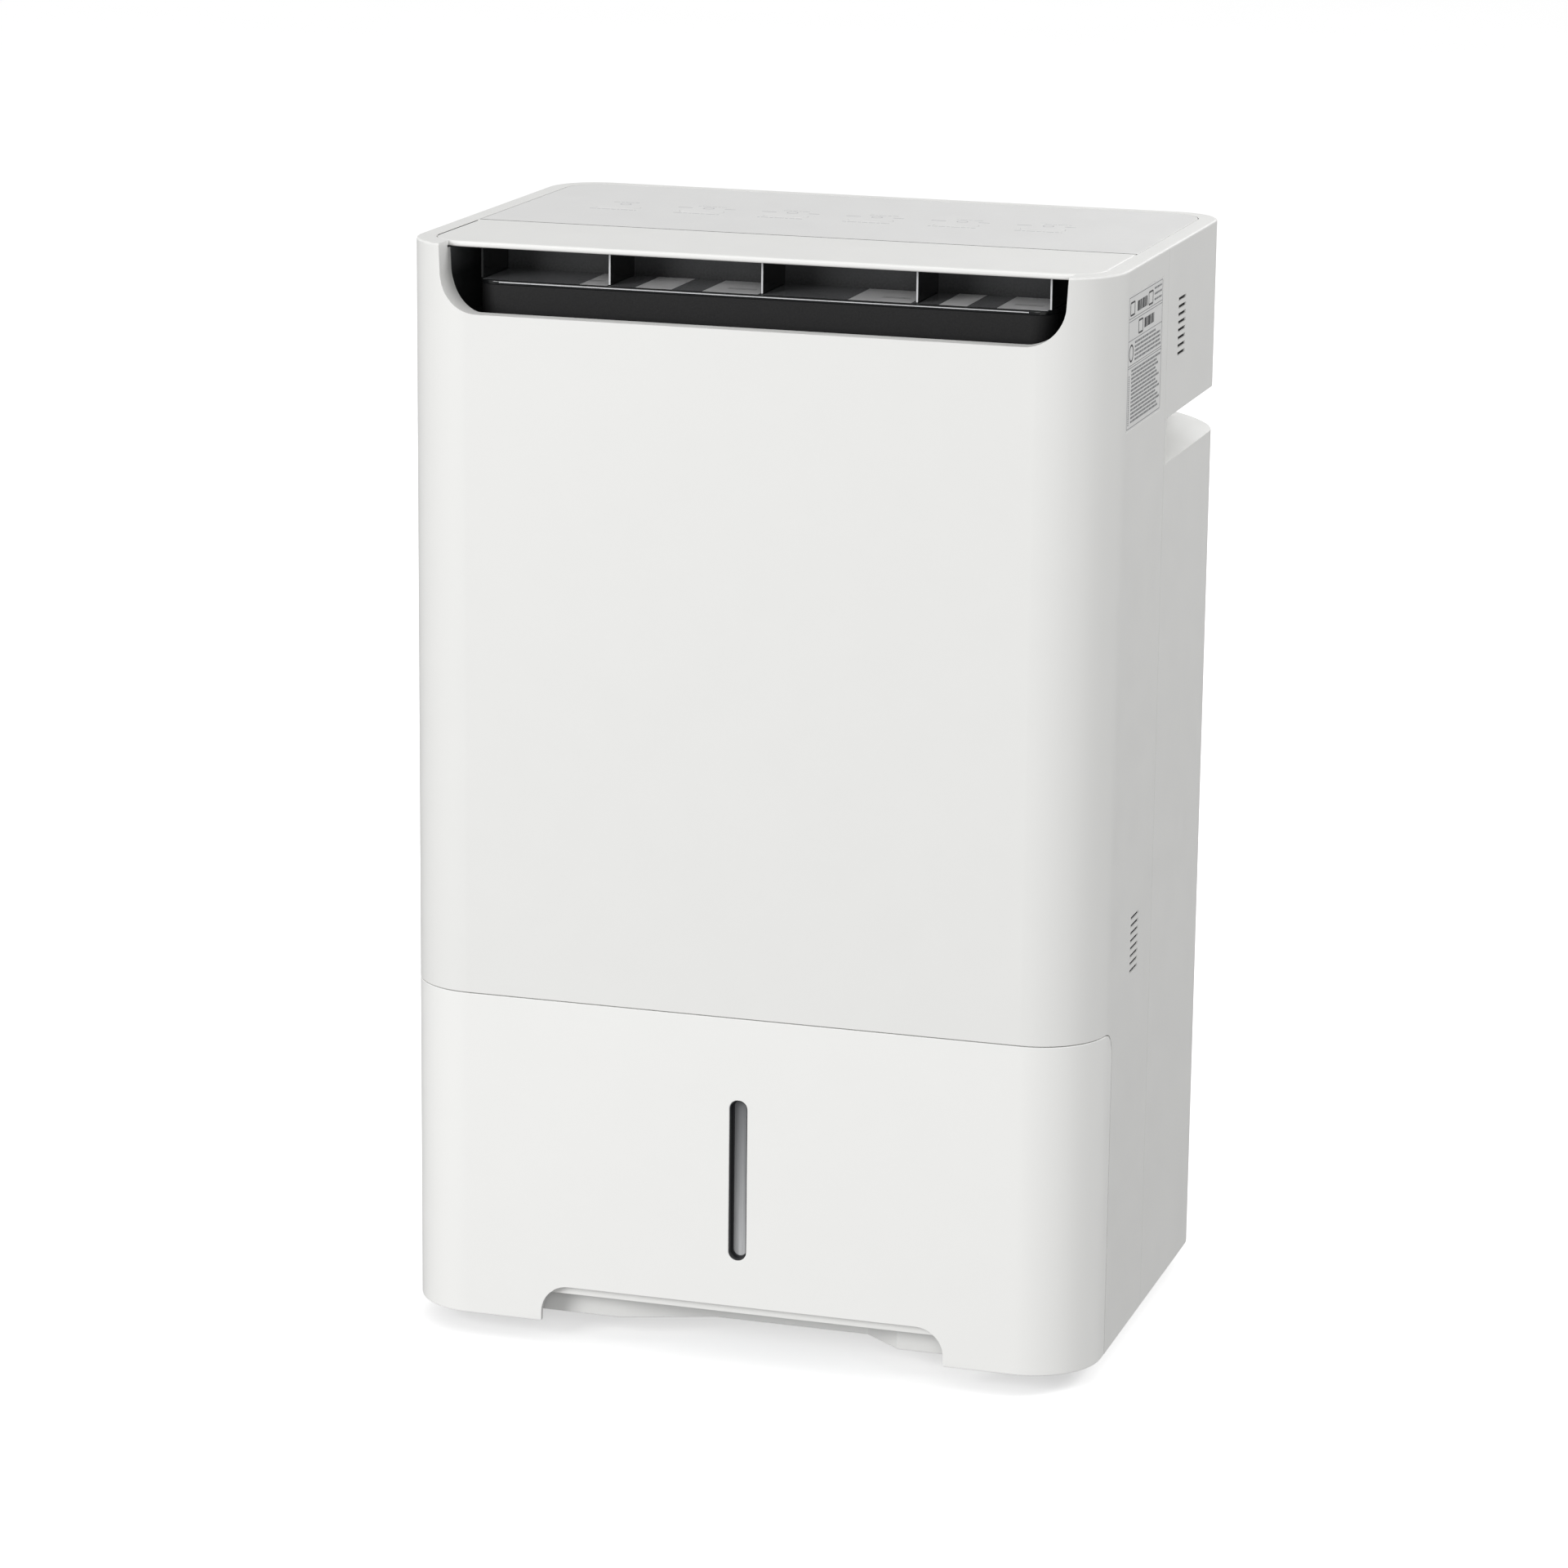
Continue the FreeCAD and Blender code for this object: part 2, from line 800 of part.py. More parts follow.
def make_base_pan():
    """The base that everything stands on: floor, front skirt with finger recess, tank rails."""
    rear_floor = plate(
        "base_rear_floor",
        (-inner_side + 0.5, inner_side - 0.5),
        (tank_wrap_y + 2, inner_back - 0.5),
        (floor_edge, floor_edge + 2.5),
        None,
        D.rear_corner - D.wall,
    )
    outline = skirt_line(as_length(0))
    front_floor = prism_z(
        "base_front_floor",
        outline + ((as_length(160), tank_wrap_y + 4), (as_length(-160), tank_wrap_y + 4)),
        (floor_edge, floor_edge + 2.5),
    )
    skirt = prism_z(
        "base_skirt",
        outline + tuple(reversed(skirt_line(as_length(2.5)))),
        (floor_edge, floor_edge + D.skirt_height),
    )
    finger_mark = cylinder(
        "base_finger_mark",
        as_length(4),
        "y",
        (as_length(4), floor_edge + D.skirt_height - 4.5),
        (front + D.skirt_recess - 0.8, front + D.skirt_recess + 1),
    )
    rails = [
        block(
            f"base_rail_{index}",
            (as_length(x - 2), as_length(x + 2)),
            (front + D.skirt_recess + 5, front + D.bucket_back_depth),
            (floor_edge + 2, floor_edge + D.bucket_low - 0.4),
        )
        for index, x in enumerate((-130, -60, 60, 130), start=1)
    ]
    guides = [
        block(
            f"base_guide_{hand}",
            (x, x + 3),
            (tank_wrap_y + 4, front + D.bucket_back_depth),
            (floor_edge + 2, floor_edge + 45),
        )
        for hand, x in (("right", D.bucket_half_width + 1), ("left", -D.bucket_half_width - 4))
    ]
    pads = [
        cylinder(f"base_boss_{index}", as_length(7), "z", spot, (floor_edge + 2, floor_edge + 8))
        for index, spot in enumerate(compressor_mounts(), start=1)
    ]
    return sub_part(
        "base_pan",
        fuse("base_pan", [rear_floor, front_floor, skirt, finger_mark] + rails + guides + pads),
    )


def make_rubber_feet():
    """Four plain rubber feet under the base."""
    feet = []
    for x in (-140, 140):
        for y in (front + 58, back - 34):
            feet.append(
                cylinder(
                    f"foot_{len(feet) + 1}",
                    D.foot_radius,
                    "z",
                    (as_length(x), y),
                    (as_length(0), floor_edge),
                )
            )
    return sub_part("rubber_feet", group("rubber_feet", feet))


def make_bulkhead():
    """The upright wall between the tank's bay and the machinery behind it."""
    y = front + D.bucket_back_depth + 3
    return sub_part(
        "bulkhead",
        block(
            "bulkhead",
            (-inner_side + 0.5, inner_side - 0.5),
            (y, y + 2),
            (floor_edge + 2.5, tank_top + 2.5),
        ),
    )


def make_deck():
    """The deck over the tank's bay, with the hole that the water drips through."""
    slab = plate(
        "deck_slab",
        (-inner_side + 0.5, inner_side - 0.5),
        (inner_front + 0.5, front + D.bucket_back_depth + 5),
        (tank_top + 2.5, tank_top + 5),
        D.front_corner - D.wall,
    )
    hole = cylinder("deck_hole", as_length(9), "z", (as_length(0), front + 110), (tank_top, tank_top + 8))
    return sub_part("deck", cut("deck", slab, hole))


# ---- water tank ------------------------------------------------------------------------------

def stadium(name, half_width, low, high, y):
    """An upright slot shape with round ends, as a prism along Y."""
    middle = block(
        f"{name}_middle",
        (-half_width, half_width),
        y,
        (low + half_width, high - half_width),
    )
    ends = [
        cylinder(f"{name}_end_{index}", half_width, "y", (as_length(0), z), y)
        for index, z in enumerate((low + half_width, high - half_width), start=1)
    ]
    return fuse(name, [middle] + ends)


def make_tank_cover():
    """The tank's front cover, which completes the cabinet's lower front."""
    walls = shared("cover_walls", cabinet_skin("cover_skin"), tank_bay("cover_limit", as_length(0)))
    ledge = shared(
        "cover_ledge",
        cabinet_solid("cover_ledge_limit"),
        block(
            "cover_ledge_block",
            (-side, side),
            (front, front + 24),
            (tank_top - 2.5, tank_top),
        ),
    )
    low = floor_edge + D.window_low
    high = floor_edge + D.window_high
    half = D.window_width / 2
    collar_span = (front + 1, front + D.window_recess - 0.2)
    collar = stadium("window_collar", half + 1.4, low - 1.4, high + 1.4, collar_span)
    slot = stadium("window_slot", half, low, high, (front - 3, front + 12))
    notch = rounded_along_y(
        "finger_notch",
        (-D.notch_left, D.notch_right),
        (front - 3, front + 4),
        (floor_edge - 10, floor_edge + D.notch_height),
        None,
        D.notch_corner,
    )
    apron_line = (front + 2, front + 5.4, front + D.window_recess + 2)
    apron_top = floor_edge + D.notch_height + 2.5
    apron = [
        block(
            "cover_apron_ledge",
            (-D.notch_left, D.notch_right),
            (apron_line[0], apron_line[2]),
            (floor_edge + D.notch_height, apron_top),
        ),
        block(
            "cover_apron_drop",
            (-D.notch_left, D.notch_right),
            (apron_line[1], apron_line[2]),
            (floor_edge + D.apron_low, apron_top),
        ),
    ]
    blank = fuse("cover_blank", [walls, ledge, collar] + apron)
    return sub_part("tank_cover", cut("tank_cover", blank, slot, notch))


def bucket_front():
    """The bucket's front face, just behind the window's lens."""
    return front + D.window_recess + 2.4


def make_tank_bucket():
    """The tank itself: an open box with rounded upright corners."""
    low = floor_edge + D.bucket_low
    high = floor_edge + D.bucket_high
    half = D.bucket_half_width
    y = (bucket_front(), front + D.bucket_back_depth)
    outside = plate("bucket_outside", (-half, half), y, (low, high), as_length(22), as_length(14))
    inside = plate(
        "bucket_inside",
        (-half + D.bucket_wall, half - D.bucket_wall),
        (y[0] + D.bucket_wall, y[1] - D.bucket_wall),
        (low + D.bucket_wall, high + 1),
        22 - D.bucket_wall,
        14 - D.bucket_wall,
    )
    return sub_part("tank_bucket", cut("tank_bucket", outside, inside))


def make_tank_window():
    """The smoky lens on the bucket's front that shows the water's level."""
    half = D.window_width / 2 - 1.3
    return sub_part(
        "tank_window",
        stadium(
            "tank_window",
            half,
            floor_edge + D.window_low + 1.3,
            floor_edge + D.window_high - 1.3,
            (front + D.window_recess, bucket_front()),
        ),
    )


def make_tank_lid():
    """The tank's lid, with its drip inlet and a raised grip."""
    high = floor_edge + D.bucket_high
    half = D.bucket_half_width
    slab = plate(
        "lid_slab",
        (-half, half),
        (bucket_front(), front + D.bucket_back_depth),
        (high, high + 2.2),
        as_length(22),
        as_length(14),
    )
    inlet = block(
        "lid_inlet",
        (as_length(-30), as_length(30)),
        (front + 92, front + 128),
        (high - 2, high + 10),
    )
    grip = plate(
        "lid_grip",
        (as_length(-60), as_length(60)),
        (front + 34, front + 58),
        (high + 2, high + 6.5),
        as_length(8),
        as_length(8),
    )
    dish = plate(
        "lid_grip_dish",
        (as_length(-56), as_length(56)),
        (front + 38, front + 54),
        (high + 3.5, high + 8),
        as_length(5),
        as_length(5),
    )
    return sub_part("tank_lid", cut("tank_lid", fuse("lid_blank", [slab, grip]), inlet, dish))


def float_pivot():
    """The float's pivot line, as (y, z)."""
    return front + 118, floor_edge + D.bucket_high - 14


def make_float_bracket():
    """The fork on the bucket's back wall that carries the float's pivot pin."""
    y, z = float_pivot()
    wall_y = front + D.bucket_back_depth - D.bucket_wall
    ears = [
        block(f"float_ear_{index}", (as_length(x), as_length(x + 3)), (y - 6, wall_y), (z - 6, z + 6))
        for index, x in enumerate((92, 125), start=1)
    ]
    pin = cylinder("float_pin", as_length(1.5), "x", (y, z), (as_length(94), as_length(126)))
    return sub_part("float_bracket", fuse("float_bracket", ears + [pin]))


def make_tank_float():
    """The float: a sealed drum on an arm that hangs from the pin."""
    y, z = float_pivot()
    arm = block("float_arm", (as_length(104), as_length(116)), (y - 3, y + 3), (z - 60, z + 3))
    knuckle = cylinder("float_knuckle", as_length(4), "x", (y, z), (as_length(98), as_length(122)))
    drum = plate(
        "float_drum",
        (as_length(88), as_length(132)),
        (y - 12, y + 12),
        (z - 84, z - 58),
        as_length(5),
        as_length(5),
    )
    bore = cylinder("float_bore", 1.5 + D.running_clearance, "x", (y, z), (as_length(96), as_length(124)))
    return sub_part("tank_float", cut("tank_float", fuse("float_blank", [arm, knuckle, drum]), bore))


# ---- top panel and keys ----------------------------------------------------------------------

def key_centres():
    """Each control key's name and centre, as (name, x, y)."""
    y = front + D.key_row_depth
    return [(f"{name}_button", -D.key_first + index * D.key_pitch, y) for index, name in enumerate(KEYS)]


def pill(name, x, y, half_length, half_width, z):
    """A flat round-ended upright prism about a centre."""
    radius = half_width - 0.01
    return plate(
        name,
        (x - half_length, x + half_length),
        (y - half_width, y + half_width),
        z,
        radius,
        radius,
    )


def lamp_places():
    """The indicator lamps' places, two behind each key but the first."""
    places = []
    for _name, x, y in key_centres()[1:]:
        places += [(x - 6, y + 24), (x + 6, y + 24)]
    return places


def make_control_panel():
    """The top plate behind the louver, pierced for the keys and the lamps."""
    slab = plate(
        "panel_slab",
        (-panel_half + D.panel_gap, panel_half - D.panel_gap),
        (hinge_y + D.hinge_heel + 0.2, panel_back - D.panel_gap),
        (top - D.wall, top),
        None,
        D.panel_corner - D.panel_gap,
    )
    holes = [
        pill(
            f"{name}_hole",
            x,
            y,
            D.key_length / 2 + D.key_clearance,
            D.key_width / 2 + D.key_clearance,
            (top - 6, top + 2),
        )
        for name, x, y in key_centres()
    ]
    lamps = [
        cylinder(f"lamp_hole_{index}", as_length(1.3), "z", spot, (top - 6, top + 2))
        for index, spot in enumerate(lamp_places(), start=1)
    ]
    ribs = [
        block(
            f"panel_rib_{index}",
            (-panel_half + 6, panel_half - 6),
            (y, y + 2),
            (top - 9, top - D.wall + 0.2),
        )
        for index, y in enumerate((hinge_y + 9, panel_back - 30), start=1)
    ]
    sweep = cylinder("panel_sweep", D.hinge_sweep, "x", (hinge_y, hinge_z), (-side, side))
    blank = fuse("panel_blank", [slab] + ribs)
    return sub_part("control_panel", cut("control_panel", blank, sweep, *holes, *lamps))


def make_buttons():
    """One sprung key for each control, flush with the panel, with its plunger below."""
    for name, x, y in key_centres():
        cap = pill(f"{name}_cap", x, y, D.key_length / 2, D.key_width / 2, (top - 3.4, top))
        flange = pill(
            f"{name}_flange",
            x,
            y,
            D.key_length / 2 + 1.2,
            D.key_width / 2 + 1.2,
            (top - 4.2, top - D.wall - 0.3),
        )
        stem = cylinder(f"{name}_stem", as_length(2), "z", (x, y), (top - 10.4, top - 4))
        sub_part(name, fuse(name, [cap, flange, stem]))


def make_indicator_lenses():
    """The small lamp lenses, flush with the panel."""
    lenses = [
        cylinder(f"lens_{index}", as_length(1.3), "z", spot, (top - 8, top))
        for index, spot in enumerate(lamp_places(), start=1)
    ]
    return sub_part("indicator_lenses", group("indicator_lenses", lenses))


def make_control_board():
    """The circuit board under the panel."""
    return sub_part(
        "control_board",
        block(
            "control_board",
            (as_length(-150), as_length(150)),
            (hinge_y + 20, panel_back - 40),
            (top - 17, top - 15.4),
        ),
    )


def make_key_switches():
    """One small switch on the board under each key."""
    switches = []
    for name, x, y in key_centres():
        switches.append(
            block(
                f"{name}_switch",
                (x - 3, x + 3),
                (y - 3, y + 3),
                (top - 15.4, top - 10.4 - D.key_travel - 0.1),
            )
        )
    return sub_part("key_switches", group("key_switches", switches))


# ---- louver ----------------------------------------------------------------------------------

def make_louver_flap():
    """The louver's white top flap, with its hinge barrel along the rear edge."""
    body = plate(
        "flap_plate",
        (-panel_half + D.panel_gap, panel_half - D.panel_gap),
        (flap_front_edge(), hinge_y),
        (top - D.flap_thickness, top),
        D.panel_corner,
    )
    side_face = panel_half - D.panel_gap
    heel_span = (hinge_y - 1, hinge_y + D.hinge_heel)
    heel = block("flap_heel", (-side_face, side_face), heel_span, (hinge_z, top))

    def on_front_rim(middle, _tangent):
        level = near(middle.z, top) or near(middle.z, top - D.flap_thickness)
        return level and middle.y < hinge_y.number - 1 and abs(middle.x) < side_face.number - 0.5

    round_edges(body, as_length(1.2), on_front_rim)
    barrel = cylinder("flap_barrel", D.barrel_radius, "x", (hinge_y, hinge_z), (-side_face, side_face))
    sockets = [
        cylinder(f"flap_socket_{hand}", D.hinge_pin_radius, "x", (hinge_y, hinge_z), span)
        for hand, span in (
            ("right", (panel_half - 8, panel_half + 2)),
            ("left", (-panel_half - 2, -panel_half + 8)),
        )
    ]
    blank = fuse("flap_blank", [body, heel, barrel])
    return sub_part("louver_flap", cut("louver_flap", blank, *sockets))


def make_louver_pins():
    """The two hinge pins, pressed into the flap's barrel."""
    pins = [
        cylinder(f"louver_pin_{hand}", D.hinge_pin_radius, "x", (hinge_y, hinge_z), span)
        for hand, span in (
            ("right", (panel_half - 8, panel_half + 4.5)),
            ("left", (-panel_half - 4.5, -panel_half + 8)),
        )
    ]
    return sub_part("louver_pins", group("louver_pins", pins))


def make_louver_blade():
    """The louver's glossy lower blade."""
    body = plate(
        "louver_blade",
        (-D.louver_half_width, D.louver_half_width),
        (louver_front, louver_back - 1),
        (blade_bottom, blade_top),
        D.louver_corner,
    )
    round_edges(
        body,
        as_length(1.0),
        lambda middle, tangent: near(middle.z, blade_top) and middle.y < louver_back.number - 3,
    )
    return sub_part("louver_blade", body)


def make_louver_skirt():
    """The grained front skirt that hangs from the blade."""
    low = outlet_low - 4
    limits = (-D.louver_half_width + 0.3, D.louver_half_width - 0.3)
    outside = plate(
        "skirt_outside",
        limits,
        (louver_front + 0.3, louver_back - 20),
        (low, blade_bottom),
        D.louver_corner,
    )
    inside = plate(
        "skirt_inside",
        (limits[0] + 2, limits[1] - 2),
        (louver_front + 2.3, louver_back),
        (low - 2, blade_bottom + 2),
        D.louver_corner - 2,
    )
    return sub_part("louver_skirt", cut("louver_skirt", outside, inside))


def make_louver_ribs():
    """The upright ribs that tie the flap to the blade, each one its own sub-part."""
    places = {
        "louver_end_left": -D.rib_pitch * 1.85,
        "louver_rib_left": -D.rib_pitch,
        "louver_rib_middle": as_length(0),
        "louver_rib_right": D.rib_pitch,
        "louver_end_right": D.rib_pitch * 1.85,
    }
    for name, x in places.items():
        sub_part(
            name,
            block(
                name,
                (x - D.rib_thickness / 2, x + D.rib_thickness / 2),
                (louver_front + D.rib_setback, louver_back - 1),
                (blade_top, top - D.flap_thickness),
            ),
        )


def make_outlet_frame():
    """The black frame round the louver: floor with the duct's mouth, sides and rear wall."""
    low = outlet_low - 8
    high = top - D.flap_thickness - 0.8
    half = D.outlet_half_width + D.outlet_flare + 1.4
    near_face = front + D.lip_depth
    wall_span = (front + D.lip_side_depth + 0.2, louver_back + 2.5)
    floor_slab = block("outlet_floor", (-half, half), (near_face, louver_back + 3), (low, low + 2.5))
    rear_wall = block("outlet_rear", (-half, half), (louver_back, louver_back + 2.5), (low, high))
    walls = [
        block(f"outlet_wall_{hand}", limits, wall_span, (low, high))
        for hand, limits in (("right", (half - 2.2, half)), ("left", (-half, -half + 2.2)))
    ]
    sill = block(
        "outlet_sill",
        (-half, half),
        (near_face, near_face + 2.2),
        (low, outlet_low - D.lip_thickness - 0.2),
    )
    mouth = block(
        "outlet_mouth",
        (as_length(-140), as_length(140)),
        (louver_front + 5, louver_back - 3),
        (low - 5, low + 8),
    )
    blank = fuse("outlet_blank", [floor_slab, rear_wall, sill] + walls)
    return sub_part("outlet_frame", cut("outlet_frame", blank, mouth))


def make_louver_motor():
    """The small geared motor beside the outlet that swings the louver."""
    inner = D.outlet_half_width + D.outlet_flare + 2.4
    case = block(
        "louver_motor_case",
        (inner, inner + 12),
        (hinge_y - 24, hinge_y - 6),
        (top - 30, top - 13),
    )
    spindle = cylinder(
        "louver_motor_spindle",
        as_length(2.5),
        "x",
        (hinge_y - 15, top - 21),
        (inner + 11, inner + 16),
    )
    return sub_part("louver_motor", fuse("louver_motor", [case, spindle]))


# ---- fan -------------------------------------------------------------------------------------

def scroll_span():
    """The scroll casing's front and rear faces."""
    return front + D.scroll_front_depth, front + D.scroll_back_depth


def scroll_outlet():
    """The scroll's outlet limits across X, and its top."""
    return -D.scroll_radius, as_length(30), fan_z + D.scroll_radius + 4


def make_fan_scroll():
    """The fan's casing: a round shell with an upward outlet, an eye and a motor hole."""
    near_face, far_face = scroll_span()
    left, right, outlet_top = scroll_outlet()
    wall = D.duct_wall
    hollow_span = (near_face + wall, far_face - wall)
    centre = (as_length(0), fan_z)
    outside = fuse(
        "scroll_outside",
        [
            cylinder("scroll_round", D.scroll_radius, "y", centre, (near_face, far_face)),
            block("scroll_neck", (left, right), (near_face, far_face), (fan_z, outlet_top)),
        ],
    )
    inside = fuse(
        "scroll_inside",
        [
            cylinder("scroll_hollow", D.scroll_radius - wall, "y", centre, hollow_span),
            block(
                "scroll_throat",
                (left + wall, right - wall),
                hollow_span,
                (fan_z, outlet_top + 1),
            ),
            cylinder("scroll_eye", as_length(68), "y", centre, (far_face - wall - 1, far_face + 1)),
            cylinder("scroll_hub_hole", as_length(33), "y", centre, (near_face - 1, near_face + wall + 1)),
        ],
    )
    return sub_part("fan_scroll", cut("fan_scroll", outside, inside))


def make_fan_inlet_ring():
    """The bell-mouth ring on the scroll's eye."""
    far_face = scroll_span()[1]
    centre = (as_length(0), fan_z)
    span = (far_face, far_face + 4)
    item = ring("fan_inlet_ring", as_length(76), as_length(66), "y", centre, span)
    return sub_part("fan_inlet_ring", item)


def make_fan_wheel():
    """The centrifugal wheel: back plate, hub, curved-in blades and a shroud ring."""
    near_face, far_face = scroll_span()
    centre = (as_length(0), fan_z)
    plate_y = near_face + 15
    ring_y = far_face - 10
    radius = D.fan_radius
    parts = [
        cylinder("wheel_plate", radius, "y", centre, (plate_y, plate_y + 2)),
        cylinder("wheel_hub", as_length(9), "y", centre, (plate_y + 1, plate_y + 16)),
        ring("wheel_ring", radius, radius - 12, "y", centre, (ring_y, ring_y + 2)),
    ]
    blades = 32
    for index in range(blades):
        blade = doc.addObject("Part::Box", f"wheel_blade_{index + 1}")
        bind(blade, Length=as_length(11), Width=ring_y - plate_y, Height=as_length(1.2))
        angle = 360.0 * index / blades
        out = FreeCAD.Rotation(FreeCAD.Vector(0, 1, 0), -angle)
        lean = FreeCAD.Rotation(FreeCAD.Vector(0, 1, 0), -angle - 25)
        start = out.multVec(FreeCAD.Vector((radius - 11.5).number, 0, 0))
        blade.Placement = FreeCAD.Placement(FreeCAD.Vector(), lean)
        place(blade, as_length(start.x), plate_y + 1, fan_z + start.z)
        parts.append(blade)
    bore = cylinder("wheel_bore", D.shaft_radius, "y", centre, (plate_y - 2, plate_y + 20))
    return sub_part("fan_wheel", cut("fan_wheel", fuse("wheel_blank", parts), bore))


def make_fan_shaft():
    """The motor's shaft, fixed in the wheel's hub."""
    near_face = scroll_span()[0]
    return sub_part(
        "fan_shaft",
        cylinder("fan_shaft", D.shaft_radius, "y", (as_length(0), fan_z), (near_face - 12, near_face + 30)),
    )


def make_fan_motor():
    """The fan's motor, in front of the scroll."""
    near_face = scroll_span()[0]
    centre = (as_length(0), fan_z)
    can = cylinder("fan_motor_can", as_length(32), "y", centre, (near_face - 18, near_face + 11))
    bore = cylinder(
        "fan_motor_bore",
        D.shaft_radius + D.running_clearance,
        "y",
        centre,
        (near_face - 13, near_face + 12),
    )
    return sub_part("fan_motor", cut("fan_motor", can, bore))


def make_motor_mount():
    """The plate that holds the motor to the scroll."""
    near_face = scroll_span()[0]
    centre = (as_length(0), fan_z)
    span = (near_face - 2.5, near_face)
    return sub_part("motor_mount", ring("motor_mount", as_length(48), as_length(32), "y", centre, span))


def funnel(name, grow, extra):
    """A four-sided funnel from the scroll's outlet up to the outlet frame's mouth."""
    near_face, far_face = scroll_span()
    left, right, low = scroll_outlet()
    high = outlet_low - 8
    item = doc.addObject("Part::Wedge", name)
    item.Placement = FreeCAD.Placement(FreeCAD.Vector(), FreeCAD.Rotation(FreeCAD.Vector(1, 0, 0), 90))
    bind(
        item,
        Xmin=left + grow,
        Xmax=right - grow,
        X2min=as_length(-142) + grow,
        X2max=as_length(142) - grow,
        Zmin=-far_face + grow,
        Zmax=-near_face - grow,
        Z2min=-louver_back + 1 + grow,
        Z2max=-louver_front - 3 - grow,
        Ymin=low - extra,
        Ymax=high + extra,
    )
    return item


def make_outlet_duct():
    """The duct between the scroll and the outlet frame."""
    outside = funnel("duct_outside", as_length(0), as_length(0))
    inside = funnel("duct_inside", D.duct_wall, as_length(0.01))
    return sub_part("outlet_duct", cut("outlet_duct", outside, inside))


# ---- refrigeration ---------------------------------------------------------------------------

def coil_depths():
    """The front faces of the condenser and the evaporator."""
    return {"condenser": front + 180, "evaporator": front + 214}


def make_coil(name):
    """A finned heat exchanger: fins between two end plates, on level tubes."""
    y = coil_depths()[name]
    far = y + D.coil_thickness
    low = floor_edge + D.coil_low
    high = floor_edge + D.coil_high
    half = D.coil_half_width
    parts = [
        block(f"{name}_end_left", (-half, -half + 2), (y, far), (low, high)),
        block(f"{name}_end_right", (half - 2, half), (y, far), (low, high)),
    ]
    fins = int((2 * half - 8).number / D.fin_pitch.number)
    for index in range(fins):
        x = -half + 6 + index * D.fin_pitch
        fin = (x, x + D.fin_thickness)
        parts.append(block(f"{name}_fin_{index + 1}", fin, (y + 1, far - 1), (low + 2, high - 2)))
    rows = 8
    for row in range(rows):
        centre = ((y + far) / 2, low + (high - low) * ((row + 0.5) / rows))
        span = (-half + 1, half - 1)
        parts.append(cylinder(f"{name}_tube_{row + 1}", D.tube_radius, "x", centre, span))
    return sub_part(name, fuse(name, parts))


def make_drain_pan():
    """The tray under both coils that catches the water."""
    coils = coil_depths()
    y = (coils["condenser"] - 4, coils["evaporator"] + D.coil_thickness + 3)
    low = floor_edge + D.coil_low - 18
    half = D.coil_half_width + 2
    outside = block("drain_outside", (-half, half), y, (low, low + 16))
    inside = block("drain_inside", (-half + 2, half - 2), (y[0] + 2, y[1] - 2), (low + 2, low + 20))
    hole = cylinder("drain_hole", as_length(5), "y", (as_length(0), low + 8), (y[0] - 2, y[0] + 4))
    return sub_part("drain_pan", cut("drain_pan", outside, inside, hole))


def make_drain_spout():
    """The spout that leads the water from the tray down through the deck."""
    pan_y = coil_depths()["condenser"] - 4
    z = floor_edge + D.coil_low - 10
    drop = front + 110
    outside = fuse(
        "spout_outside",
        [
            cylinder("spout_level", as_length(7), "y", (as_length(0), z), (drop - 7, pan_y)),
            cylinder("spout_drop", as_length(7), "z", (as_length(0), drop), (tank_top + 6, z + 7)),
        ],
    )
    inside = fuse(
        "spout_inside",
        [
            cylinder("spout_level_bore", as_length(5), "y", (as_length(0), z), (drop - 3, pan_y + 1)),
            cylinder("spout_drop_bore", as_length(5), "z", (as_length(0), drop), (tank_top + 4, z + 2)),
        ],
    )
    return sub_part("drain_spout", cut("drain_spout", outside, inside))


def compressor_centre():
    """The compressor's upright axis, as (x, y)."""
    return as_length(95), front + 204


def compressor_mounts():
    """The three mounting points round the compressor."""
    x, y = compressor_centre()
    reach = D.compressor_radius + 6
    places = []
    for angle in (60, 180, 300):
        across = math.cos(math.radians(angle))
        along = math.sin(math.radians(angle)) * 0.7
        places.append((x + reach * across, y + reach * along))
    return places


def make_compressor():
    """The sealed compressor: a domed can with a terminal cap."""
    x, y = compressor_centre()
    low = floor_edge + 20
    radius = D.compressor_radius
    body, sketch = body_on("compressor_can", "XY_Plane", low)
    index = sketch.addGeometry(
        Part.Circle(FreeCAD.Vector(x.number, y.number, 0), FreeCAD.Vector(0, 0, 1), radius.number), False
    )
    pin_point(sketch, index, 3, x, y)
    rule = sketch.addConstraint(Sketcher.Constraint("Radius", index, radius.number))
    sketch.setExpression(f"Constraints[{rule}]", radius.formula)
    pad(body, sketch, D.compressor_tall)
    round_edges(body, as_length(18), lambda middle, tangent: abs(tangent.z) < 0.5)
    cap = block(
        "compressor_cap",
        (x - 14, x + 14),
        (y - radius - 5, y - radius + 12),
        (low + 95, low + 140),
    )
    return sub_part("compressor", fuse("compressor", [body, cap]))


def make_compressor_feet():
    """The mounting plate under the compressor with its three rubber bushes."""
    x, y = compressor_centre()
    disc = cylinder("mount_disc", D.compressor_radius - 8, "z", (x, y), (floor_edge + 17, floor_edge + 20))
    bush_span = (floor_edge + 8, floor_edge + 20)
    bushes = [
        cylinder(f"mount_bush_{index}", as_length(7), "z", spot, bush_span)
        for index, spot in enumerate(compressor_mounts(), start=1)
    ]
    bridge = block("mount_bridge", (x - 60, x + 30), (y - 40, y + 40), (floor_edge + 15, floor_edge + 18))
    return sub_part("compressor_mount", fuse("compressor_mount", [disc, bridge] + bushes))


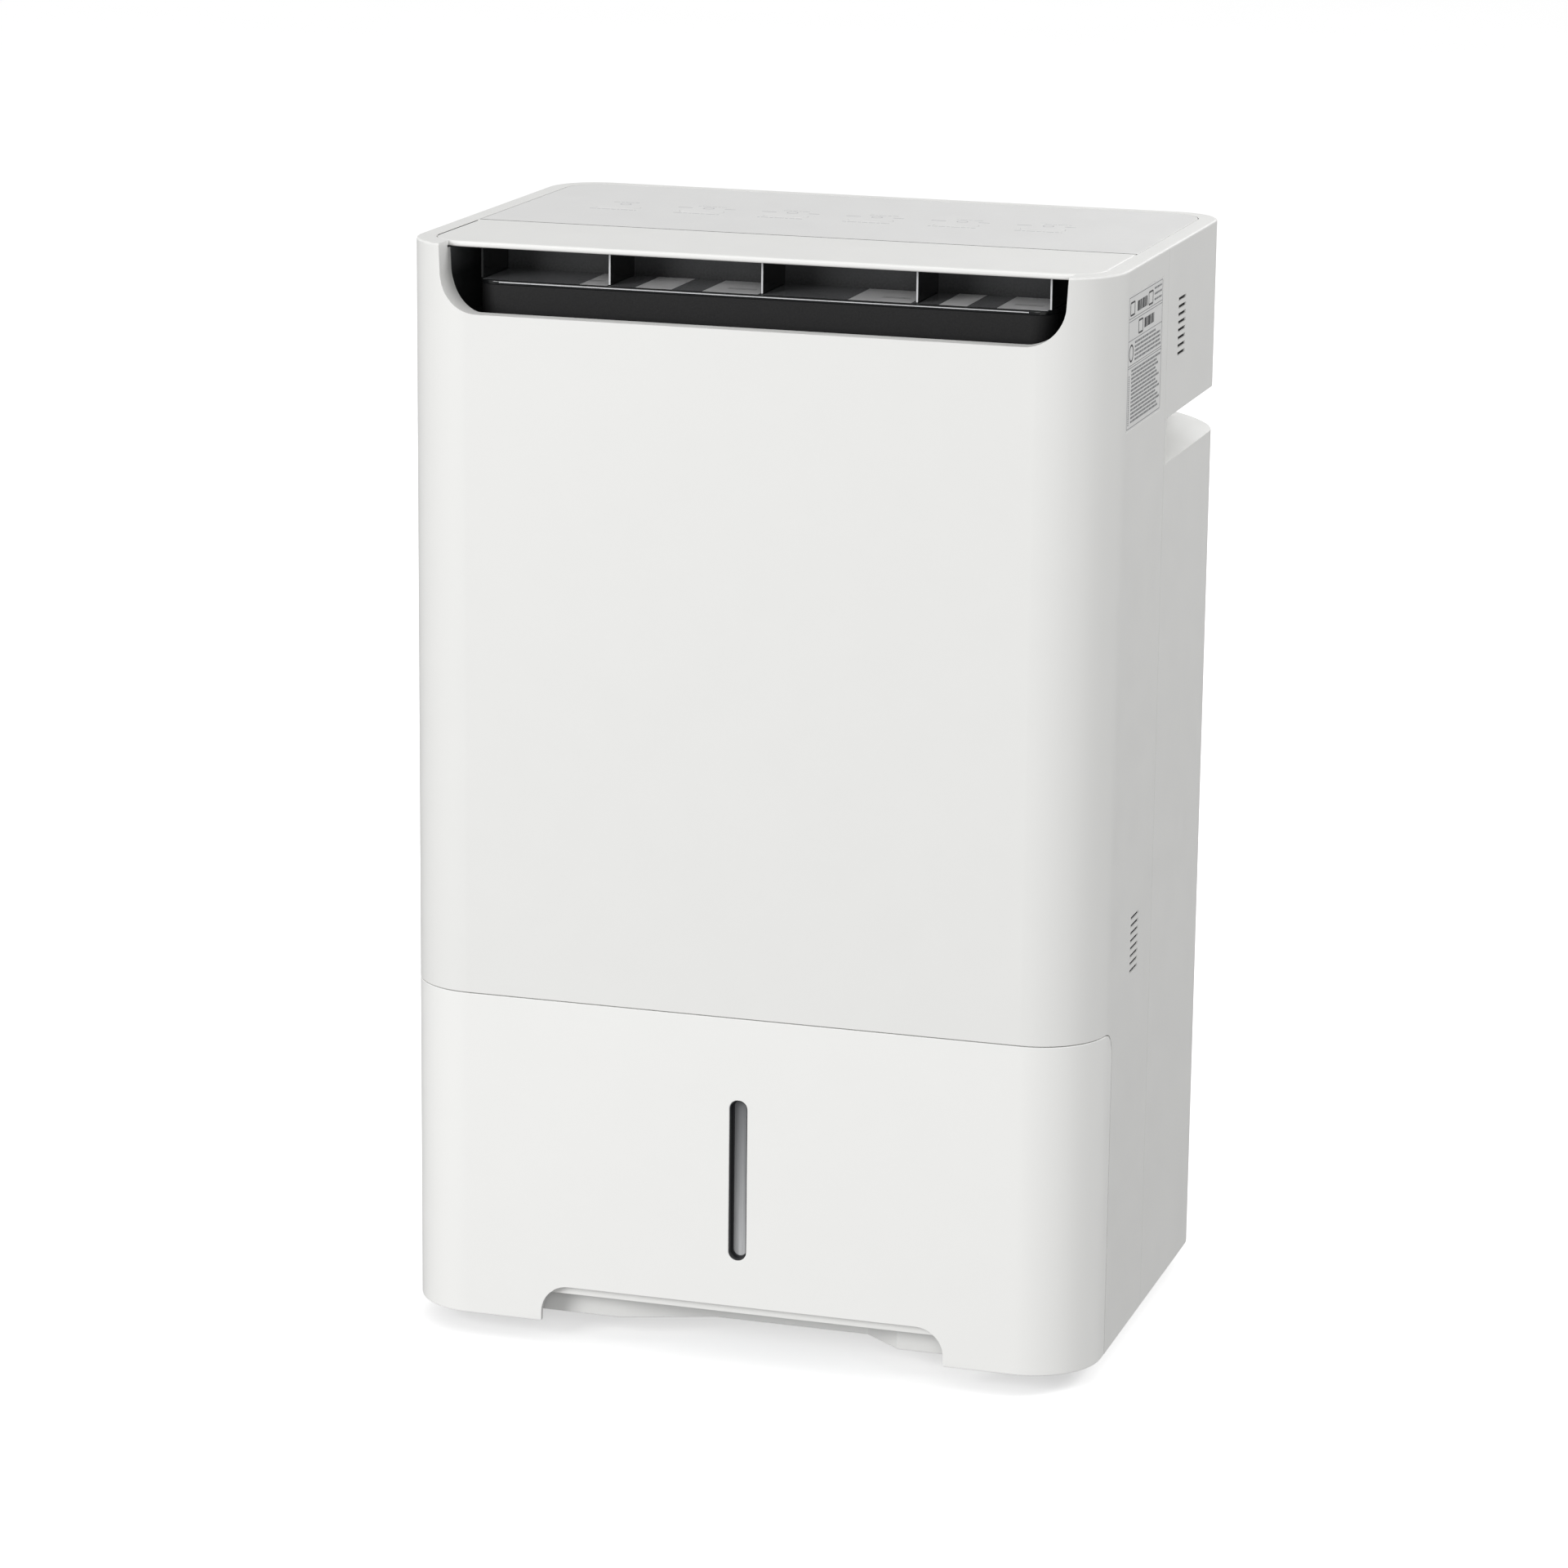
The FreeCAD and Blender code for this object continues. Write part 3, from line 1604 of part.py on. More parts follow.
def bent_tube(name, points, radius, bend):
    """A round tube along straight runs joined by tangent arcs."""
    corners = [FreeCAD.Vector(*(as_length(amount).number for amount in point)) for point in points]
    edges = []
    start = corners[0]
    for index in range(1, len(corners) - 1):
        before = (corners[index - 1] - corners[index]).normalize()
        after = (corners[index + 1] - corners[index]).normalize()
        turn = math.pi - before.getAngle(after)
        reach = bend * math.tan(turn / 2)
        arc_start = corners[index] + before * reach
        arc_end = corners[index] + after * reach
        inward = (before + after).normalize()
        centre = corners[index] + inward * (bend / math.cos(turn / 2))
        middle = centre - inward * bend
        edges.append(Part.LineSegment(start, arc_start).toShape())
        edges.append(Part.Arc(arc_start, middle, arc_end).toShape())
        start = arc_end
    edges.append(Part.LineSegment(start, corners[-1]).toShape())
    direction = (corners[1] - corners[0]).normalize()
    section = Part.Wire([Part.Circle(corners[0], direction, radius).toShape()])
    item = doc.addObject("Part::Feature", name)
    item.Shape = Part.Wire(edges).makePipeShell([section], True, False)
    return item


def make_refrigerant_lines():
    """The copper lines between the compressor and the two coils."""
    x, y = compressor_centre()
    dome = floor_edge + 20 + D.compressor_tall
    half = D.coil_half_width
    coils = coil_depths()
    middle = D.coil_thickness / 2
    low = floor_edge + D.coil_low
    step = (D.coil_high - D.coil_low) / 8
    right_run = half + 20
    sub_part(
        "discharge_line",
        bent_tube(
            "discharge_line",
            (
                (x, y - 12, dome),
                (x, y - 12, dome + 10),
                (right_run, y - 12, dome + 10),
                (right_run, coils["condenser"] + middle, low + step * 5.5),
                (half, coils["condenser"] + middle, low + step * 5.5),
            ),
            3.0,
            4.0,
        ),
    )
    sub_part(
        "suction_line",
        bent_tube(
            "suction_line",
            (
                (x, y + 20, dome),
                (x, y + 20, dome + 8),
                (right_run, y + 30, dome + 8),
                (right_run, coils["evaporator"] + middle, low + step * 1.5),
                (half, coils["evaporator"] + middle, low + step * 1.5),
            ),
            3.0,
            3.8,
        ),
    )
    sub_part(
        "capillary_line",
        bent_tube(
            "capillary_line",
            (
                (-half, coils["condenser"] + middle, low + step * 0.5),
                (-half - 16, coils["condenser"] + middle, low + step * 0.5),
                (-half - 16, coils["condenser"] + middle + 12, low + step * 3),
                (-half - 16, coils["evaporator"] + middle, low + step * 5.5),
                (-half, coils["evaporator"] + middle, low + step * 5.5),
            ),
            1.8,
            5.0,
        ),
    )


# ---- electrics -------------------------------------------------------------------------------

def make_electrics():
    """The power board's box, the run capacitor and the humidity sensor."""
    wall_y = front + D.bucket_back_depth + 5
    box = plate(
        "electronics_box",
        (as_length(-165), as_length(-45)),
        (wall_y + 6, wall_y + 46),
        (floor_edge + 2.5, floor_edge + 150),
        as_length(5),
        as_length(5),
    )
    sub_part("electronics_box", box)
    stand = (as_length(-110), wall_y + 78)
    sub_part(
        "run_capacitor",
        cylinder("run_capacitor", as_length(20), "z", stand, (floor_edge + 2.5, floor_edge + 82)),
    )
    sub_part(
        "humidity_sensor",
        block(
            "humidity_sensor",
            (inner_side - 6, inner_side),
            (front + 152, front + 168),
            (floor_edge + 514, floor_edge + 542),
        ),
    )


# ---- intake grille and filter ----------------------------------------------------------------

def make_rear_grille():
    """The pull-off intake grille: a frame with level slats, and a rim that holds the filter."""
    margin = D.grille_margin
    low = floor_edge + D.intake_low - margin
    high = floor_edge + D.intake_high + margin
    half = D.intake_half_width + margin
    face = (back + 0.4, back + D.grille_rise)
    frame = rounded_along_y("grille_frame", (-half, half), face, (low, high), as_length(12), as_length(12))
    round_edges(frame, as_length(2.5), lambda middle, tangent: near(middle.y, back + D.grille_rise))
    window = rounded_along_y(
        "grille_window",
        (-half + 18, half - 18),
        (back - 3, back + D.grille_rise + 3),
        (low + 18, high - 18),
        as_length(5),
        as_length(5),
    )
    rim = cut(
        "grille_rim",
        intake_hole("grille_rim_outside", as_length(-0.8), (back - 9, back + 1)),
        intake_hole("grille_rim_inside", as_length(-2.8), (back - 10, back + 3)),
    )
    slats = []
    count = int((high - low - 36).number / D.slat_pitch.number)
    for index in range(count):
        z = low + 18 + (index + 0.5) * D.slat_pitch
        slats.append(
            block(
                f"slat_{index + 1}",
                (-half + 17, half - 17),
                (back + 2, back + D.grille_rise - 1.2),
                (z - D.slat_thickness / 2, z + D.slat_thickness / 2),
            )
        )
    for index, x in enumerate((-60, 0, 60), start=1):
        slats.append(
            block(
                f"grille_post_{index}",
                (as_length(x - 1.5), as_length(x + 1.5)),
                (back + 1, back + D.grille_rise - 3),
                (low + 17, high - 17),
            )
        )
    return sub_part("rear_grille", fuse("rear_grille", [cut("grille_plate", frame, window), rim] + slats))


def make_air_filter():
    """The filter's frame with its cross bars, and the mesh behind it."""
    half = D.intake_half_width - 3.4
    low = floor_edge + D.intake_low + 3.4
    high = floor_edge + D.intake_high - 3.4
    y = (back - 3.6, back + 0.4)
    outside = rounded_along_y("filter_outside", (-half, half), y, (low, high), as_length(8), as_length(8))
    openings = []
    columns = 3
    rows = 3
    width = (2 * half - 8) / columns
    height = (high - low - 8) / rows
    for column in range(columns):
        for row in range(rows):
            x = -half + 4 + column * width
            z = low + 4 + row * height
            openings.append(
                block(
                    f"filter_opening_{column}_{row}",
                    (x + 2, x + width - 2),
                    (y[0] - 1, y[1] + 1),
                    (z + 2, z + height - 2),
                )
            )
    sub_part("filter_frame", cut("filter_frame", outside, *openings))
    return sub_part(
        "filter_mesh",
        block("filter_mesh", (-half + 2, half - 2), (y[0] - 0.6, y[0]), (low + 2, high - 2)),
    )


# ---- assembly --------------------------------------------------------------------------------

def build():
    """Make every sub-part."""
    make_front_panel()
    make_rear_cabinet()
    make_cabinet_screws()
    make_information_label()
    make_cord_gland()
    make_base_pan()
    make_rubber_feet()
    make_bulkhead()
    make_deck()
    make_tank_cover()
    make_tank_bucket()
    make_tank_window()
    make_tank_lid()
    make_float_bracket()
    make_tank_float()
    make_control_panel()
    make_buttons()
    make_indicator_lenses()
    make_control_board()
    make_key_switches()
    make_louver_flap()
    make_louver_pins()
    make_louver_blade()
    make_louver_skirt()
    make_louver_ribs()
    make_outlet_frame()
    make_louver_motor()
    make_fan_scroll()
    make_fan_inlet_ring()
    make_fan_wheel()
    make_fan_shaft()
    make_fan_motor()
    make_motor_mount()
    make_outlet_duct()
    make_coil("condenser")
    make_coil("evaporator")
    make_drain_pan()
    make_drain_spout()
    make_compressor()
    make_compressor_feet()
    make_refrigerant_lines()
    make_electrics()
    make_rear_grille()
    make_air_filter()


def check():
    """Stop if any object failed, or if any sub-part has no valid shape."""
    doc.recompute()
    for item in doc.Objects:
        faults = [state for state in item.State if state in ("Invalid", "Error")]
        if faults:
            raise RuntimeError(f"{item.Name} failed to recompute: {faults}")
    for item in NODES:
        if item.Shape.isNull() or not item.Shape.isValid() or not item.Shape.Solids:
            raise RuntimeError(f"{item.Label} has no valid solid")


def export():
    """Write each sub-part's shape to its own STEP file."""
    os.makedirs("parts", exist_ok=True)
    for item in NODES:
        item.Shape.exportStep(f"parts/{item.Label}.step")
        box = item.Shape.BoundBox
        print(
            f"{item.Label:20s} solids {len(item.Shape.Solids):3d}  "
            f"x {box.XMin:8.2f} {box.XMax:8.2f}  y {box.YMin:8.2f} {box.YMax:8.2f}  "
            f"z {box.ZMin:8.2f} {box.ZMax:8.2f}"
        )


build()
check()
export()
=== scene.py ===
# Looks for the dehumidifier: softened edges, finishes, small marks, light and camera.

import math

import bmesh
import bpy
from mathutils import Matrix, Vector


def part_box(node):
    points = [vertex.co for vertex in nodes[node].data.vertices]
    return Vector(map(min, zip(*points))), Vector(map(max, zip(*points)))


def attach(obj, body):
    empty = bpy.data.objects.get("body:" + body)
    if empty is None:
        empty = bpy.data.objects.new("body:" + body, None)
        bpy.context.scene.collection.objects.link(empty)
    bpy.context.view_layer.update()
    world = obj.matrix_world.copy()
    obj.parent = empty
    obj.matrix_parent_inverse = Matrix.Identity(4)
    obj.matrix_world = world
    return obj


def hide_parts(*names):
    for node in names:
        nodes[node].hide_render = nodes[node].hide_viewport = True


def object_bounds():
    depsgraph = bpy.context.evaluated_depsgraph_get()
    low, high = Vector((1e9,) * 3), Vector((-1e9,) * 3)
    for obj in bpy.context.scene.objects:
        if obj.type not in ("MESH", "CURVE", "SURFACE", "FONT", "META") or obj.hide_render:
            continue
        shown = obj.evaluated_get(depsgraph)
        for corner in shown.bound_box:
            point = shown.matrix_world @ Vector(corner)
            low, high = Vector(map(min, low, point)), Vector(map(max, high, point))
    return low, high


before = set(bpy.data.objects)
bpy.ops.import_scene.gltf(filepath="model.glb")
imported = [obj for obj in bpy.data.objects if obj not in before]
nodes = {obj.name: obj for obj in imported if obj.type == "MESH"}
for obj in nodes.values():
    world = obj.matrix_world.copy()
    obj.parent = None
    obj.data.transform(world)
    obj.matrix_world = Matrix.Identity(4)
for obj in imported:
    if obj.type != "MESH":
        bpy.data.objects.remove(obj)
cad_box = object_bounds()
scene = bpy.context.scene
MM = 0.001


# ---- finishes --------------------------------------------------------------------------------

def srgb(r, g, b):
    """A colour given as 8-bit display values, in the renderer's own linear scale."""
    def linear(v):
        v /= 255.0
        return v / 12.92 if v <= 0.04045 else ((v + 0.055) / 1.055) ** 2.4
    return (linear(r), linear(g), linear(b), 1.0)


def scaled(colour, factor):
    """A colour made lighter or darker."""
    return tuple(min(1.0, c * factor) for c in colour[:3]) + (1.0,)


class Finish:
    """A material under construction, with short calls for the nodes that every finish needs."""

    def __init__(self, name):
        self.material = bpy.data.materials.new(name + "_finish")
        self.material.use_nodes = True
        self.tree = self.material.node_tree
        self.shader = self.tree.nodes["Principled BSDF"]
        self.place = self.add("ShaderNodeTexCoord").outputs["Object"]

    def add(self, kind, **settings):
        node = self.tree.nodes.new(kind)
        for name, setting in settings.items():
            setattr(node, name, setting)
        return node

    def link(self, source, target):
        self.tree.links.new(source, target)

    def stretched(self, x, y, z):
        """Object coordinates with each axis scaled."""
        node = self.add("ShaderNodeMapping")
        node.inputs["Scale"].default_value = (x, y, z)
        self.link(self.place, node.inputs["Vector"])
        return node.outputs["Vector"]

    def noise(self, size_mm, detail=2.0, rough=0.5, place=None):
        """Noise whose features are about size_mm across, from 0 to 1."""
        node = self.add("ShaderNodeTexNoise")
        node.inputs["Scale"].default_value = 1.0 / (size_mm * MM)
        node.inputs["Detail"].default_value = detail
        node.inputs["Roughness"].default_value = rough
        self.link(place or self.place, node.inputs["Vector"])
        return node.outputs["Fac"]

    def cells(self, size_mm, feature, place=None):
        """The distance to a feature of cells about size_mm across."""
        node = self.add("ShaderNodeTexVoronoi", feature=feature)
        node.inputs["Scale"].default_value = 1.0 / (size_mm * MM)
        self.link(place or self.place, node.inputs["Vector"])
        return node.outputs["Distance"]

    def math(self, operation, a, b=None):
        node = self.add("ShaderNodeMath", operation=operation)
        for socket, amount in zip(node.inputs, (a, b)):
            if amount is None:
                continue
            if isinstance(amount, (int, float)):
                socket.default_value = amount
            else:
                self.link(amount, socket)
        return node.outputs[0]

    def span(self, source, low, high, start=0.3, stop=0.7):
        """A source from start to stop, spread from low to high."""
        node = self.add("ShaderNodeMapRange")
        node.inputs["From Min"].default_value = start
        node.inputs["From Max"].default_value = stop
        node.inputs["To Min"].default_value = low
        node.inputs["To Max"].default_value = high
        self.link(source, node.inputs["Value"])
        return node.outputs["Result"]

    def mix(self, share, a, b):
        """Colour a where the share is 0, and b where it is 1."""
        node = self.add("ShaderNodeMix", data_type="RGBA")
        for socket, amount in ((node.inputs[0], share), (node.inputs[6], a), (node.inputs[7], b)):
            if isinstance(amount, (int, float, tuple)):
                socket.default_value = amount
            else:
                self.link(amount, socket)
        return node.outputs[2]

    def colour(self, source):
        self.link(source, self.shader.inputs["Base Color"])

    def roughness(self, source):
        self.link(source, self.shader.inputs["Roughness"])

    def bump(self, height, depth_mm, under=None):
        """A relief depth_mm deep, over another relief if one is given."""
        node = self.add("ShaderNodeBump")
        node.inputs["Strength"].default_value = 1.0
        node.inputs["Distance"].default_value = depth_mm * MM
        self.link(height, node.inputs["Height"])
        if under is not None:
            self.link(under, node.inputs["Normal"])
        return node.outputs["Normal"]

    def normal(self, source):
        self.link(source, self.shader.inputs["Normal"])

    def set(self, **sockets):
        """Constants, straight on the shader's own sockets."""
        for name, amount in sockets.items():
            self.shader.inputs[name.replace("_", " ")].default_value = amount


def moulded(name, colour, roughness, grain=0.5, depth=0.012, mottle=0.012, spread=0.05, **sockets):
    """Moulded plastic: fine spark-eroded grain over a very slight waviness and shift of tone."""
    f = Finish(name)
    drift = f.noise(70.0, detail=2.0)
    speck = f.noise(2.2, detail=3.0)
    patches = f.math("MULTIPLY", drift, speck)
    f.colour(f.mix(patches, scaled(colour, 1.0 - mottle), scaled(colour, 1.0 + mottle)))
    sheen = f.noise(18.0, detail=4.0, rough=0.6)
    f.roughness(f.span(sheen, roughness - spread, roughness + spread))
    flow = f.bump(f.noise(45.0, detail=1.0), 0.02)
    f.normal(f.bump(f.noise(grain, detail=2.0, rough=0.6), depth, flow))
    f.set(**sockets)
    return f.material


def leather_grain(name, colour, roughness, cell=0.9, depth=0.03, **sockets):
    """Plastic with a coarse pebbled grain."""
    f = Finish(name)
    pebble = f.cells(cell, "SMOOTH_F1")
    fine = f.noise(cell * 0.35, detail=2.0)
    tone = f.mix(f.span(pebble, 0.0, 1.0, 0.0, 0.7), scaled(colour, 1.25), scaled(colour, 0.8))
    f.colour(tone)
    f.roughness(f.span(fine, roughness - 0.06, roughness + 0.06))
    f.normal(f.bump(fine, depth * 0.35, f.bump(pebble, depth)))
    f.set(**sockets)
    return f.material


def metal(name, colour, roughness, along="x", depth=0.006, **sockets):
    """Drawn or brushed metal with faint scratches along one axis."""
    f = Finish(name)
    squeeze = {"x": (0.02, 1.0, 1.0), "y": (1.0, 0.02, 1.0), "z": (1.0, 1.0, 0.02)}[along]
    scratches = f.noise(0.5, detail=4.0, rough=0.7, place=f.stretched(*squeeze))
    stain = f.noise(14.0, detail=4.0, rough=0.6)
    f.colour(f.mix(f.span(stain, 0.0, 1.0), scaled(colour, 0.82), scaled(colour, 1.06)))
    f.roughness(f.span(scratches, roughness - 0.08, roughness + 0.12))
    f.normal(f.bump(scratches, depth))
    f.set(Metallic=1.0, **sockets)
    return f.material


def painted(name, colour, roughness, **sockets):
    """Sprayed enamel with a slight orange peel and dust in it."""
    f = Finish(name)
    peel = f.noise(2.4, detail=2.0)
    dust = f.span(f.noise(30.0, detail=5.0, rough=0.65), 0.0, 1.0, 0.45, 0.75)
    f.colour(f.mix(dust, colour, scaled(colour, 1.5)))
    f.roughness(f.span(peel, roughness - 0.05, roughness + 0.08))
    f.normal(f.bump(peel, 0.05))
    f.set(**sockets)
    return f.material


def woven(name, colour, pitch_mm, depth):
    """A plain square weave in the X-Z plane, for the air filter."""
    f = Finish(name)
    axes = f.add("ShaderNodeSeparateXYZ")
    f.link(f.place, axes.inputs[0])
    turn = math.pi / (pitch_mm * MM)
    across = f.math("SINE", f.math("MULTIPLY", axes.outputs["X"], turn))
    along = f.math("SINE", f.math("MULTIPLY", axes.outputs["Z"], turn))
    over = f.math("ABSOLUTE", f.math("MULTIPLY", across, along))
    thread = f.math("MAXIMUM", f.math("ABSOLUTE", across), f.math("ABSOLUTE", along))
    fluff = f.noise(6.0, detail=4.0)
    # Darker between the threads as painted shade, and uneven with fluff.
    thread_shade_and_fluff = f.math("MULTIPLY", thread, f.span(fluff, 0.7, 1.0))
    f.colour(f.mix(thread_shade_and_fluff, scaled(colour, 0.35), scaled(colour, 1.2)))
    f.roughness(f.span(fluff, 0.6, 0.85))
    f.normal(f.bump(over, depth))
    return f.material


def streaked_lens(name, above, below):
    """A smoky lens that is paler towards its lower end, with faint upright flow streaks."""
    f = Finish(name)
    axes = f.add("ShaderNodeSeparateXYZ")
    f.link(f.place, axes.inputs[0])
    depth = f.span(axes.outputs["Z"], 0.0, 1.0, WINDOW_TOP, WINDOW_BOTTOM)
    streak = f.noise(1.1, detail=3.0, rough=0.6, place=f.stretched(1.0, 1.0, 0.03))
    tone = f.mix(depth, above, below)
    f.colour(f.mix(f.span(streak, 0.0, 0.35), tone, scaled(above, 0.8)))
    f.roughness(f.span(streak, 0.14, 0.26))
    f.normal(f.bump(streak, 0.01))
    f.set(Coat_Weight=0.3, Coat_Roughness=0.08)
    return f.material


def satin_with_painted_shade(name, below, above, low, high):
    """Satin plastic in painted shade low down and painted light towards its upper edge, with fine
    pale specks of dust.
    """
    f = Finish(name)
    axes = f.add("ShaderNodeSeparateXYZ")
    f.link(f.place, axes.inputs[0])
    # Painted shade at the low height, rising to painted light at the high one.
    shade_to_light = f.span(axes.outputs["Z"], 0.0, 1.0, low, high)
    speck = f.noise(1.2, detail=3.0)
    f.colour(f.mix(f.span(speck, 0.0, 0.15), f.mix(shade_to_light, below, above), scaled(above, 1.3)))
    f.roughness(f.span(speck, 0.46, 0.56))
    f.normal(f.bump(speck, 0.02))
    f.set(Specular_IOR_Level=0.3)
    return f.material


def circuit(name):
    """Solder mask over copper tracks."""
    f = Finish(name)
    tracks = f.cells(7.0, "DISTANCE_TO_EDGE", f.stretched(1.0, 1.0, 0.05))
    line = f.span(tracks, 1.0, 0.0, 0.02, 0.06)
    f.colour(f.mix(line, srgb(14, 74, 44), srgb(34, 112, 66)))
    f.roughness(f.span(f.noise(3.0, detail=3.0), 0.3, 0.45))
    f.normal(f.bump(line, 0.03))
    return f.material


WHITE = srgb(233, 233, 231)
SHELL_GRAIN = {"grain": 0.45, "depth": 0.010, "mottle": 0.008}
PANEL_GRAIN = {"grain": 0.35, "depth": 0.006, "mottle": 0.008}
INNER_GRAIN = {"grain": 0.9, "depth": 0.03, "mottle": 0.04}
# Heights in metres between which the lens changes tone, and the outlet's frame goes from painted
# shade to painted light.
WINDOW_TOP, WINDOW_BOTTOM = 0.140, 0.060
OUTLET_SHADE_LOW, OUTLET_SHADE_HIGH = 0.566, 0.582

SLOTS = {
    "shell_white": moulded("shell_white", WHITE, 0.42, **SHELL_GRAIN),
    "panel_white": moulded("panel_white", srgb(229, 229, 228), 0.34, **PANEL_GRAIN),
    "key_white": moulded("key_white", srgb(230, 230, 229), 0.33, **PANEL_GRAIN),
    "base_white": moulded(
        "base_white", srgb(231, 231, 229), 0.48, grain=0.7, depth=0.02, mottle=0.012
    ),
    "tank_plastic": moulded(
        "tank_plastic", srgb(205, 212, 216), 0.22,
        grain=1.2, depth=0.008, Transmission_Weight=0.55, IOR=1.49,
    ),
    "float_plastic": moulded("float_plastic", srgb(236, 238, 236), 0.5, grain=0.8, depth=0.02),
    "smoke_lens": streaked_lens("smoke_lens", srgb(124, 125, 127), srgb(204, 205, 206)),
    "lamp_lens": moulded("lamp_lens", srgb(224, 225, 224), 0.34, grain=0.3, depth=0.004),
    "black_gloss": moulded(
        "black_gloss", srgb(21, 22, 23), 0.14,
        grain=3.0, depth=0.003, mottle=0.05, spread=0.03, IOR=1.5,
    ),
    "black_grain": leather_grain(
        "black_grain", srgb(20, 20, 21), 0.62, Specular_IOR_Level=0.28
    ),
    # The outlet frame's satin: painted shade low down, painted light towards its top.
    "black_satin": satin_with_painted_shade(
        "black_satin", srgb(24, 25, 26), srgb(92, 93, 95), OUTLET_SHADE_LOW, OUTLET_SHADE_HIGH
    ),
    "inner_grey": moulded("inner_grey", srgb(120, 122, 124), 0.5, **INNER_GRAIN),
    "fan_black": moulded("fan_black", srgb(40, 41, 44), 0.45, grain=0.8, depth=0.02, mottle=0.06),
    "steel": metal("steel", srgb(186, 188, 190), 0.3),
    "motor_case": metal("motor_case", srgb(160, 163, 166), 0.36, along="y"),
    "compressor_paint": painted("compressor_paint", srgb(24, 25, 27), 0.3),
    "copper": metal("copper", srgb(196, 122, 84), 0.26, along="z"),
    "fins": metal("fins", srgb(196, 200, 204), 0.34, along="z"),
    "board_green": circuit("board_green"),
    "small_black": moulded(
        "small_black", srgb(44, 45, 47), 0.4, grain=0.5, depth=0.015, mottle=0.06
    ),
    "box_grey": moulded("box_grey", srgb(150, 152, 154), 0.5, **INNER_GRAIN),
    "capacitor_can": metal("capacitor_can", srgb(200, 202, 205), 0.22, along="z"),
    "sensor_white": moulded("sensor_white", srgb(225, 226, 224), 0.45, grain=0.5, depth=0.01),
    "label_film": moulded(
        "label_film", srgb(230, 230, 229), 0.38, grain=0.4, depth=0.003, mottle=0.006
    ),
    "rubber": leather_grain("rubber", srgb(44, 44, 45), 0.8, cell=1.6, depth=0.06),
    "filter_plastic": moulded(
        "filter_plastic", srgb(92, 95, 99), 0.5, grain=0.8, depth=0.02, mottle=0.04
    ),
    "filter_fabric": woven("filter_fabric", srgb(70, 73, 78), 1.6, 0.25),
}

slot_of = {name: node.data.materials[0].name for name, node in nodes.items()}
for name, node in nodes.items():
    node.data.materials[0] = SLOTS[slot_of[name]]


# ---- mouldings with softened edges -----------------------------------------------------------

ROUNDED_ANGLE = math.radians(28.0)
FLAT_ANGLE = math.radians(0.6)
MERGE_DISTANCE = 2e-6
NORMAL_WEIGHT = 60
WIDTH_SHARES = (1.0, 0.6, 0.35)
AREA_FAULT_ALLOWED = 0.004


def finished(mesh, name, slot_name, body, *stands_for):
    """Put a mesh in the scene as a piece that moves with a body."""
    piece = bpy.data.objects.new(name, mesh)
    scene.collection.objects.link(piece)
    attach(piece, body)
    if stands_for:
        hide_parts(*stands_for)
    return piece


def surface(mesh):
    """A mesh's area."""
    return sum(face.area for face in mesh.polygons)


def with_rounded_edges(source, width, segments, joined, smooth):
    """The source mesh with every sharp edge rounded to a width in metres.

    It comes with the share by which its area misses the area that such rounding should leave.
    """
    mesh = source.copy()
    bm = bmesh.new()
    bm.from_mesh(mesh)
    bmesh.ops.remove_doubles(bm, verts=bm.verts, dist=MERGE_DISTANCE)
    if joined:
        bmesh.ops.dissolve_limit(bm, angle_limit=FLAT_ANGLE, verts=bm.verts, edges=bm.edges)
    edges = [edge for edge in bm.edges if edge.is_manifold]
    sharp = sum(edge.calc_length() for edge in edges if edge.calc_face_angle() > ROUNDED_ANGLE)
    bm.to_mesh(mesh)
    bm.free()
    if "custom_normal" in mesh.attributes:
        mesh.attributes.remove(mesh.attributes["custom_normal"])
    mesh.polygons.foreach_set("use_smooth", [smooth] * len(mesh.polygons))
    trial = bpy.data.objects.new("trial", mesh)
    scene.collection.objects.link(trial)
    bevel = trial.modifiers.new("rounding", "BEVEL")
    bevel.width = width
    bevel.segments = segments
    bevel.limit_method = "ANGLE"
    bevel.angle_limit = ROUNDED_ANGLE
    bevel.use_clamp_overlap = False
    bevel.miter_outer = "MITER_ARC"
    if smooth:
        weigh = trial.modifiers.new("normals", "WEIGHTED_NORMAL")
        weigh.mode = "FACE_AREA"
        weigh.weight = NORMAL_WEIGHT
        weigh.keep_sharp = False
    evaluated = trial.evaluated_get(bpy.context.evaluated_depsgraph_get())
    result = bpy.data.meshes.new_from_object(evaluated)
    bpy.data.objects.remove(trial)
    bpy.data.meshes.remove(mesh)
    expected = surface(source) - (2.0 - math.pi / 2.0) * width * sharp
    return result, abs(surface(result) / expected - 1.0)


def softened(node, name, body, width, segments=2, finish=None, smooth=True):
    """A copy of a CAD node whose sharp edges are rounded, as a mould would leave them.

    The width is in millimetres. Narrower ones are tried when it spoils the mesh, and the truest
    result is kept.
    """
    best = None
    for share in WIDTH_SHARES:
        for joined in (False, True):
            mesh, fault = with_rounded_edges(
                nodes[node].data, width * share * MM, segments, joined, smooth
            )
            if best is None or fault < best[1]:
                best = (mesh, fault)
        if best[1] < AREA_FAULT_ALLOWED:
            break
    mesh = best[0]
    mesh.name = name
    if finish:
        mesh.materials.clear()
        mesh.materials.append(finish)
    return finished(mesh, name, slot_of[node], body, node)


